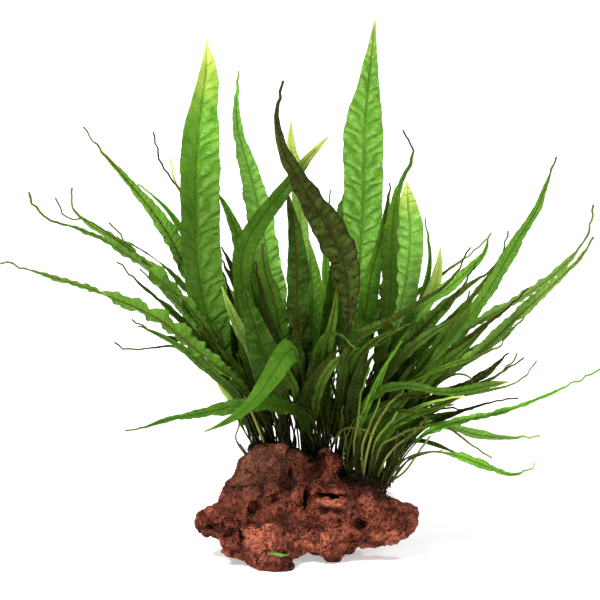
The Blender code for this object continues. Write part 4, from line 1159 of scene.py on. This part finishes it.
    def sprouts(self, skins, colours):
        """Short fronds that stand and lean low round the creeping stem."""
        layout_seed, blade_seed = SPROUT_SEEDS
        rng = np.random.default_rng(layout_seed)
        made = {}
        for number in range(colours.sprouts):
            share = rng.uniform(0.0, 1.0)
            foot = stem_spot(share)
            turn = rng.uniform(0, 2 * math.pi)
            out = np.array((math.cos(turn) + 1.1 * (share - 0.45), 0.8 * math.sin(turn), 0))
            if share < 0.42 and out[1] < 0.1:
                continue
            tall, wide = rng.uniform(30, 74), rng.uniform(6, 30)
            if out[1] < -0.2:
                tall, wide = tall * 0.85, wide * 0.6
            t = np.linspace(0.06, 1, 7)[:, None]
            droop = rng.uniform(0.0, 0.35)
            points = foot + out * wide * t ** 1.6 + np.array((0, 0, 1)) * tall * (t - droop * t ** 3)
            points = points + rng.normal(0, 1.2, (len(t), 3)) * t
            points = even_run(np.concatenate([[foot], points]), 13)
            width = rng.uniform(2.2, 5.5) * (0.6 if share > 0.65 else 1.0)
            shape = (rng.uniform(0.3, 0.5), rng.uniform(0.55, 0.62),
                     rng.uniform(0.66, 0.8), rng.uniform(0.8, 1.4))
            rings, look = self.one_of_crowd(points, width, shape, (35, 15), (0.45, 0.43, 0.12),
                                            colours.pitch, rng)
            look = look._replace(shaded=0.7, tip=0.0)
            grown = blade(rings, look, blade_seed + number, NARROW_COLUMNS, CROWD_STEP)
            made.setdefault(look.skin, []).append(grown)
        joined("sprouts", made, skins)

    def bare_stalks(self, solids, skins, colours):
        """Thin stalks that crowd and cross at the foot of the plant, each leaning after a large frond."""
        layout_seed, blade_seed = STALK_SEEDS
        rng = np.random.default_rng(layout_seed)
        names = sorted(solids)
        blades = []
        for number in range(colours.stalks):
            line = solids[names[number % len(names)]][0]
            reach = rng.uniform(0.25, 0.42)
            points = through(line, np.linspace(0, (len(line) - 1) * reach, 8))
            share = np.linspace(0, 1, 8)[:, None]
            shift = rng.normal(0, 3.2, 3) * (1, 1, 0)
            points = points + shift * (0.35 + 0.65 * share) + rng.normal(0, 1.6, 3) * np.sin(share * np.pi)
            points[0, 2] = points[0, 2] - 1.0
            rings = frond_rings(even_run(points, 9), 0.01, (0.98, 0.99, 0.995, 1), (0, 0), 0)
            light = rng.random() < 0.2 and points[-1, 0] > 10
            look = USUAL["frond_green"]._replace(
                tone=rng.uniform(0.6, 1.2), warm=rng.uniform(0.3, 0.8) if light else 0,
                least=rng.uniform(0.25, 0.5), young=1.0, shaded=0.35 if light else 0.7)
            blades.append(blade(rings, look, blade_seed + number, STALK_COLUMNS, STALK_STEP))
        joined("bare_stalks", {"green": blades}, skins)


class FernStone(PropertyGroup):
    """Colours of the lava."""

    bright: colour_setting("Brick red", "Lava where it is freshly broken", (0.275, 0.066, 0.036))
    dull: colour_setting("Brown red", "Weathered lava", (0.100, 0.024, 0.015))
    crust: colour_setting("Crust", "Lit grains of the lava", (0.58, 0.165, 0.092))
    pore: colour_setting("Pores", "Inside of the pores", (0.011, 0.0034, 0.0018))
    film: colour_setting("Film", "Dull film on the top", (0.150, 0.058, 0.032))


class FernStems(PropertyGroup):
    """Creeping stem and roots."""

    rootlets: IntProperty(
        name="Rootlets", description="How many fine rootlets clothe the stem", default=420, min=0)
    body: colour_setting("Stem", "Colour of the creeping stem", (0.030, 0.024, 0.009))
    root: colour_setting("Roots", "Colour of the roots", (0.036, 0.019, 0.008))


class FernStage(PropertyGroup):
    """Floor and light."""

    floor: colour_setting("Floor", "Colour of the floor", (0.93, 0.93, 0.93))
    glow: FloatProperty(
        name="Floor glow", description="How much the floor shines, like a light table", default=0.42, min=0.0)
    sky: FloatProperty(
        name="Surround", description="Strength of the light from all round", default=0.36, min=0.0)
    key: FloatProperty(name="Key light", description="Strength of the key light", default=3.5, min=0.0)
    softness: FloatProperty(
        name="Softness", description="Width of the lights as seen from the plant",
        default=math.radians(11), subtype="ANGLE")


# Stone

# Sizes, in millimetres, of the faces of stone, creeping stem, roots and leaf scrap
STONE_FACE = 0.54
STEM_FACE = 0.42
ROOT_FACE = 0.22
SCRAP_FACE = 0.16

# Marks on the lava's face, read from the front: across, up, half width, half height and how far out. Dug
# marks get painted shade, raised ones painted light
MARKS = [
    (10.5, 30, 8.5, 1.5, 1.5), (10.7, 33.4, 6, 0.9, -2.0), (10.5, 26, 8.5, 1.6, -1.5),
    (-1, 31, 0.7, 3.4, -1.7), (-28, 26, 1.3, 1.6, -1.6), (-16, 31, 0.9, 0.8, -0.9),
    (-53.5, 22.5, 1.5, 1.5, -1.2), (-24, 18.3, 4, 0.8, -1.2), (25.5, 17.2, 2.0, 0.4, -0.9),
    (-10, 44, 0.9, 1.8, -1.6), (-9, 37, 0.8, 1.6, -1.4), (22.5, 24, 0.6, 1.4, -0.7),
    (-47.5, 16, 6, 0.8, -1.5), (16, 20, 1.2, 1, -1.5), (-40, 15, 2, 2, -1.5), (-24, 13, 9, 6, 1.8),
    (-34.5, 12, 0.9, 7.5, -2.8), (-32, 37.5, 9, 0.9, -1.2), (40, 12, 10, 3, 0.8), (-24, 21, 8, 1.0, -1.3),
]

# Patches of colour on the lava's face: 0 for orange, partly painted light on lit facets, 1 for porous, with
# painted shade in its pores, and 2 for moss, across, up, half width and half height
PATCHES = [
    (0, -24, 13, 9.5, 6.5), (0, -21, 5, 9, 5), (0, 10.5, 30, 8, 1.6), (0, 6, 11, 12, 5),
    (0, 40, 12, 10, 3.5), (0, -48, 24, 4, 2), (0, 30, 30, 6, 3), (1, 8, 15, 12, 7), (1, 30, 20, 10, 5),
    (1, -44, 20, 8, 5), (2, 53, 30, 1.3, 1.0), (2, -29, 24.5, 2.4, 2.8), (0, -8, 11, 10, 3),
    (0, -40, 9, 5, 3), (0, 20, 14, 8, 4),
]


def even_skin(name, node, size, rounds):
    """A copy of a solid's mesh as an even skin of faces of this size, smoothed this many times."""
    mesh = frame["nodes"][node].data.copy()
    work = bpy.data.objects.new(name, mesh)
    bpy.context.scene.collection.objects.link(work)
    even = work.modifiers.new("even", "REMESH")
    even.mode = "VOXEL"
    even.voxel_size = size * MM
    even.use_smooth_shade = True
    graph = bpy.context.evaluated_depsgraph_get()
    made = bpy.data.meshes.new_from_object(work.evaluated_get(graph))
    bpy.data.objects.remove(work)
    bpy.data.meshes.remove(mesh)
    bm = bmesh.new()
    bm.from_mesh(made)
    for _ in range(rounds):
        bmesh.ops.smooth_vert(
            bm, verts=bm.verts, factor=0.5, use_axis_x=True, use_axis_y=True, use_axis_z=True)
    bm.to_mesh(made)
    bm.free()
    made.update()
    return made


class FERN_OT_stone(Operator):
    """Give the lava stone its breaks, pores and colours"""

    bl_idname = "fern.stone"
    bl_label = "Lava stone"

    def execute(self, context):
        noise.seed_set(STONE_SEED)
        mesh = even_skin("lava_stone_skin", "lava_stone", STONE_FACE, 3)
        count = len(mesh.vertices)

        def of_points(key):
            values = np.empty(count * 3, np.float32)
            mesh.vertices.foreach_get(key, values)
            return values.reshape(-1, 3).astype(float)

        points, normals = of_points("co") / MM, of_points("normal")
        shift, skin, patch = np.zeros(count), np.zeros((count, 3)), np.zeros((count, 3))
        for i, spot in enumerate(points.tolist()):
            shift[i], skin[i, 0], skin[i, 1] = lava_relief(Vector(spot))
        shown = smoothstep(0.0, 0.35, -normals @ FORWARD)
        wander = np.array([noise.noise_vector(Vector(p) / 4.5) for p in points]) * 2.2
        across, up = seen_at(points + wander)
        for u, v, wide, tall, out in MARKS:
            off, over = np.abs((across - u) / wide), np.abs((up - v) / tall)
            near = np.hypot(off, over) if out < 0 else (off ** 3 + over ** 3) ** (1 / 3)
            near = smoothstep(1.3, 0.7, near) * shown
            shift += out * near
            # Dug marks get painted shade, raised ones painted light
            if out < 0:
                skin[:, 0] = np.maximum(skin[:, 0], near * 0.8)
            else:
                skin[:, 1] = np.minimum(1, skin[:, 1] + near * 0.3)
        for kind, u, v, wide, tall in PATCHES:
            near = smoothstep(1.3, 0.5, np.hypot((across - u) / wide, (up - v) / tall)) * shown
            patch[:, kind] = np.maximum(patch[:, kind], near)
        skin[:, 2] = smoothstep(30, 42, points[:, 2]) * smoothstep(8, -10, points[:, 0]) * 0.9
        add_layer(mesh, "patch", patch)
        add_layer(mesh, "skin", skin)
        standing = smoothstep(0.2, 1.6, points[:, 2])
        moved = points + normals * (shift * standing)[:, None]
        moved[:, 2] = np.maximum(moved[:, 2], 0)
        mesh.vertices.foreach_set("co", (moved * MM).ravel())
        piece = dressed("lava_stone_skin", mesh, lava_material(context.scene.fern_stone))
        settle(piece, ["lava_stone"])
        return {"FINISHED"}


def facet(spot, size, seed):
    """Height of a patchwork of small tilted faces, as lava breaks, and how near its cracks are."""
    apart, centres = noise.voronoi(spot / size + seed)
    tilt = noise.cell_vector(centres[0] * 3.7)
    lean = (tilt - Vector((0.5, 0.5, 0.5))).dot(spot / size + seed - centres[0])
    return lean * 2.2 + (noise.cell(centres[0] * 5.1) - 0.5) * 0.8, apart[1] - apart[0]


def pit(spot, size, seed, least, most):
    """How deep a point lies in a round pore, from 0 to 1."""
    crowd = 0.5 + 0.5 * noise.noise(spot / 9 + seed)
    nearest = noise.voronoi(spot / size + seed)[0][0]
    return max(0.0, 1 - nearest / (least + (most - least) * crowd)) ** 0.5


def lava_relief(spot):
    """How far the lava's skin stands out here, in millimetres, how hollow it is, for painted shade, and how
    raised, for painted light.
    """
    warped = spot + noise.noise_vector(spot / 6) * 1.6
    broad, broad_crack = facet(warped, 9.0, Vector((2, 5, 1)))
    small, _ = facet(warped, 3.6, Vector((7, 3, 8)))
    grain = noise.fractal(spot / 2.4, 0.75, 2.1, 4)
    large = pit(spot, 6.4, Vector((3, 1, 7)), 0.04, 0.17)
    middling = pit(spot, 3.0, Vector((9, 4, 2)), 0.08, 0.36)
    little = pit(spot, 1.7, Vector((4, 8, 6)), 0.05, 0.46)
    crack = max(0.0, 1 - broad_crack / 0.09)
    height = broad * 0.95 + small * 0.34 + grain * 0.42
    height = height - large * 1.2 - middling * 0.8 - little * 0.4 - crack * 0.6
    # How hollow it is, which the lava's material paints as shade
    hollow = large * 0.95 + middling * 0.7 + little * 0.45 + crack * 0.4 + max(0, -grain) * 0.15
    # How raised it is, which the lava's material paints as light
    raised = 0.5 + broad * 0.35 + small * 0.35 + grain * 0.35
    return height, min(1.0, hollow), min(1, max(0, raised))


# Creeping stem, roots and rootlets

# The tuft of rootlets at the stone's right end, read from the front, and how many there are in it
TUFT = (35.5, 35.5, -14)
TUFT_COUNT = 90


def barked(name, node, size, swell, material):
    """A stem's or root's solid with a knobbly skin."""
    mesh = even_skin(name, node, size, 2)
    for vertex in mesh.vertices:
        spot = vertex.co / MM
        knobs = noise.fractal(spot / 1.6, 0.8, 2.0, 3) * swell + noise.noise(spot / 4) * swell
        vertex.co += vertex.normal * knobs * MM
    return dressed(name, mesh, material)


def threads(runs, radii, sides=3):
    """Points and faces of thin tapering tubes along these runs of points."""
    points, faces = [], []
    for run, radius in zip(runs, radii):
        along = unit(np.gradient(run, axis=0))
        aside = unit(np.cross(along, np.array((0.31, 0.17, 0.93))))
        other = np.cross(along, aside)
        first = len(points)
        for i in range(len(run)):
            size = radius * (1 - 0.75 * i / (len(run) - 1))
            for k in range(sides):
                turn = 2 * math.pi * k / sides
                points.append(run[i] + (aside[i] * math.cos(turn) + other[i] * math.sin(turn)) * size)
        for i in range(len(run) - 1):
            for k in range(sides):
                a, b = first + i * sides + k, first + i * sides + (k + 1) % sides
                faces.append((a, b, b + sides, a + sides))
        faces.append(tuple(first + k for k in reversed(range(sides))))
        faces.append(tuple(first + (len(run) - 1) * sides + k for k in range(sides)))
    return points, faces


def tree_of(node):
    """A solid as a tree that finds the nearest place on it, in millimetres."""
    mesh = frame["nodes"][node].data
    corners = [v.co / MM for v in mesh.vertices]
    return BVHTree.FromPolygons(corners, [p.vertices[:] for p in mesh.polygons])


class FERN_OT_stems(Operator):
    """Clothe the creeping stem and the roots"""

    bl_idname = "fern.stems"
    bl_label = "Creeping stem and roots"

    def execute(self, context):
        settings = context.scene.fern_stems
        bark = bark_material("rhizome_skin", tuple(settings.body), 1.9, 0.3, 700.0)
        hair = bark_material("root_skin", tuple(settings.root), 2.2, 0.35, 1400.0)
        for node in sorted(frame["nodes"]):
            if node.startswith("rhizome"):
                settle(barked(f"{node}_bark", node, STEM_FACE, 0.45, bark), [node])
            elif node.startswith("root"):
                settle(barked(f"{node}_bark", node, ROOT_FACE, 0.14, hair), [node])
        self.rootlets(settings.rootlets, hair)
        return {"FINISHED"}

    def rootlets(self, count, material):
        """Fine rootlets that leave the creeping stem and feel their way over the stone."""
        rock = tree_of("lava_stone")
        rng = np.random.default_rng(ROOTLET_SEED)
        runs, radii = [], []
        stems = [n for n in sorted(frame["nodes"]) if n.startswith("rhizome")]
        for number in range(count):
            mesh = frame["nodes"][stems[number % len(stems)]].data
            start = mesh.vertices[int(rng.integers(len(mesh.vertices)))]
            point = start.co / MM
            heading = (start.normal + Vector((0, 0, -0.6)) + Vector(rng.normal(0, 0.5, 3))).normalized()
            run = [np.array(point - start.normal * 0.5)]
            for _ in range(int(rng.integers(6, 13))):
                heading = (heading + Vector(rng.normal(0, 0.33, 3)) + Vector((0, 0, -0.12))).normalized()
                point = point + heading * rng.uniform(0.8, 1.5)
                near, normal, _, apart = rock.find_nearest(point)
                if (point - near).dot(normal) < 0.35 or apart > 3.5:
                    point = near + normal * rng.uniform(0.3, 0.9)
                    heading = (heading - normal * heading.dot(normal)).normalized()
                run.append(np.array(point))
            runs.append(through(np.array(run), np.linspace(0, len(run) - 1, int(1.4 * len(run)))))
            radii.append(rng.uniform(0.12, 0.28))
        tuft = place(*TUFT)
        for _ in range(TUFT_COUNT):
            out = unit(rng.normal(0, 1, 3) * (1.0, 0.7, 0.8) + (0.15, -0.2, 0.1))
            t = np.linspace(0, 1, 6)[:, None]
            foot = tuft + rng.normal(0, 1.2, 3)
            runs.append(foot + out * t * rng.uniform(2.5, 5.5) + (0, 0, -1.4) * t ** 2)
            radii.append(rng.uniform(0.12, 0.22))
        points, faces = threads(runs, radii)
        settle(mesh_object("rootlets", points, faces, {}, material))


class FERN_OT_scrap(Operator):
    """Dress the scrap of leaf on the stone's front foot"""

    bl_idname = "fern.scrap"
    bl_label = "Leaf scrap"

    def execute(self, context):
        light, dark = colours_of(context.scene.fern_fronds, "bright_light", "bright")
        shader = Shader("scrap_skin", roughness=0.4)
        spot = shader.node("ShaderNodeTexCoord").outputs["Object"]
        fine = shader.noise(spot, 500.0, 3.0)
        colour = shader.mix(fine.ramp(0.35, 0.65), light, dark)
        skin = shader.finish(colour, None, shader.bump(fine, 0.2 * MM))
        mesh = even_skin("leaf_scrap_blade", "leaf_scrap", SCRAP_FACE, 3)
        settle(dressed("leaf_scrap_blade", mesh, skin), ["leaf_scrap"])
        return {"FINISHED"}


# Stage


class FERN_OT_stage(Operator):
    """Make the floor, the soft lights and the camera"""

    bl_idname = "fern.stage"
    bl_label = "Stage"

    def execute(self, context):
        settings = context.scene.fern_stage
        scene = context.scene
        bpy.ops.mesh.primitive_plane_add(size=24)
        floor = context.object
        floor.name = "floor"
        floor.data.materials.append(floor_material(tuple(settings.floor), settings.glow))
        world = bpy.data.worlds.new("studio")
        world.use_nodes = True
        world.node_tree.nodes["Background"].inputs["Color"].default_value = (1.0, 1.0, 1.0, 1.0)
        world.node_tree.nodes["Background"].inputs["Strength"].default_value = settings.sky
        scene.world = world
        for name, shines, strength in (
            ("key", (0.42, 0.72, -0.95), settings.key),
            ("fill", (-0.55, 0.80, -0.45), settings.key * 0.12),
            ("rim", (-0.30, -0.55, -1.0), settings.key * 0.28),
        ):
            light = bpy.data.lights.new(name, "SUN")
            light.energy = strength
            light.angle = settings.softness
            lamp = bpy.data.objects.new(name, light)
            lamp.rotation_euler = Vector(shines).to_track_quat("-Z", "Y").to_euler()
            scene.collection.objects.link(lamp)
        camera = bpy.data.cameras.new("photo_camera")
        camera.sensor_width = SENSOR
        camera.lens = SENSOR * EYE_DISTANCE / PICTURE_WIDTH
        camera.clip_end = 20
        eye = bpy.data.objects.new("photo_camera", camera)
        eye.location = Vector((EYE - MIDDLE) * MM)
        eye.rotation_euler = Vector(FORWARD).to_track_quat("-Z", "Y").to_euler()
        scene.collection.objects.link(eye)
        scene.camera = eye
        scene.view_settings.view_transform = "Standard"
        return {"FINISHED"}


class FERN_PT_panel(Panel):
    """Lists the steps that dress the fern"""

    bl_label = "Java fern"
    bl_idname = "FERN_PT_panel"
    bl_space_type = "VIEW_3D"
    bl_region_type = "UI"
    bl_category = "Java fern"

    def draw(self, context):
        for group, operators in PANEL:
            box = self.layout.box()
            settings = getattr(context.scene, group)
            for key in settings.__annotations__:
                box.prop(settings, key)
            for operator in operators:
                box.operator(operator.bl_idname)


GROUPS = {
    "fern_fronds": FernFronds,
    "fern_stone": FernStone,
    "fern_stems": FernStems,
    "fern_stage": FernStage,
}
OPERATORS = (FERN_OT_stone, FERN_OT_stems, FERN_OT_fronds, FERN_OT_scrap, FERN_OT_stage)
PANEL = (
    ("fern_stone", (FERN_OT_stone,)),
    ("fern_stems", (FERN_OT_stems,)),
    ("fern_fronds", (FERN_OT_fronds, FERN_OT_scrap)),
    ("fern_stage", (FERN_OT_stage,)),
)


def register():
    for group in GROUPS.values():
        bpy.utils.register_class(group)
    for name, group in GROUPS.items():
        setattr(bpy.types.Scene, name, PointerProperty(type=group))
    for made in (*OPERATORS, FERN_PT_panel):
        bpy.utils.register_class(made)


def unregister():
    for made in reversed((*OPERATORS, FERN_PT_panel)):
        bpy.utils.unregister_class(made)
    for name, group in GROUPS.items():
        delattr(bpy.types.Scene, name)
        bpy.utils.unregister_class(group)


def main():
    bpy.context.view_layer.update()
    for name in ("Cube", "Light", "Camera"):
        if name in bpy.data.objects:
            bpy.data.objects.remove(bpy.data.objects[name])
    register()
    for operator in OPERATORS:
        module, name = operator.bl_idname.split(".")
        getattr(getattr(bpy.ops, module), name)()


if __name__ == "__main__":
    main()
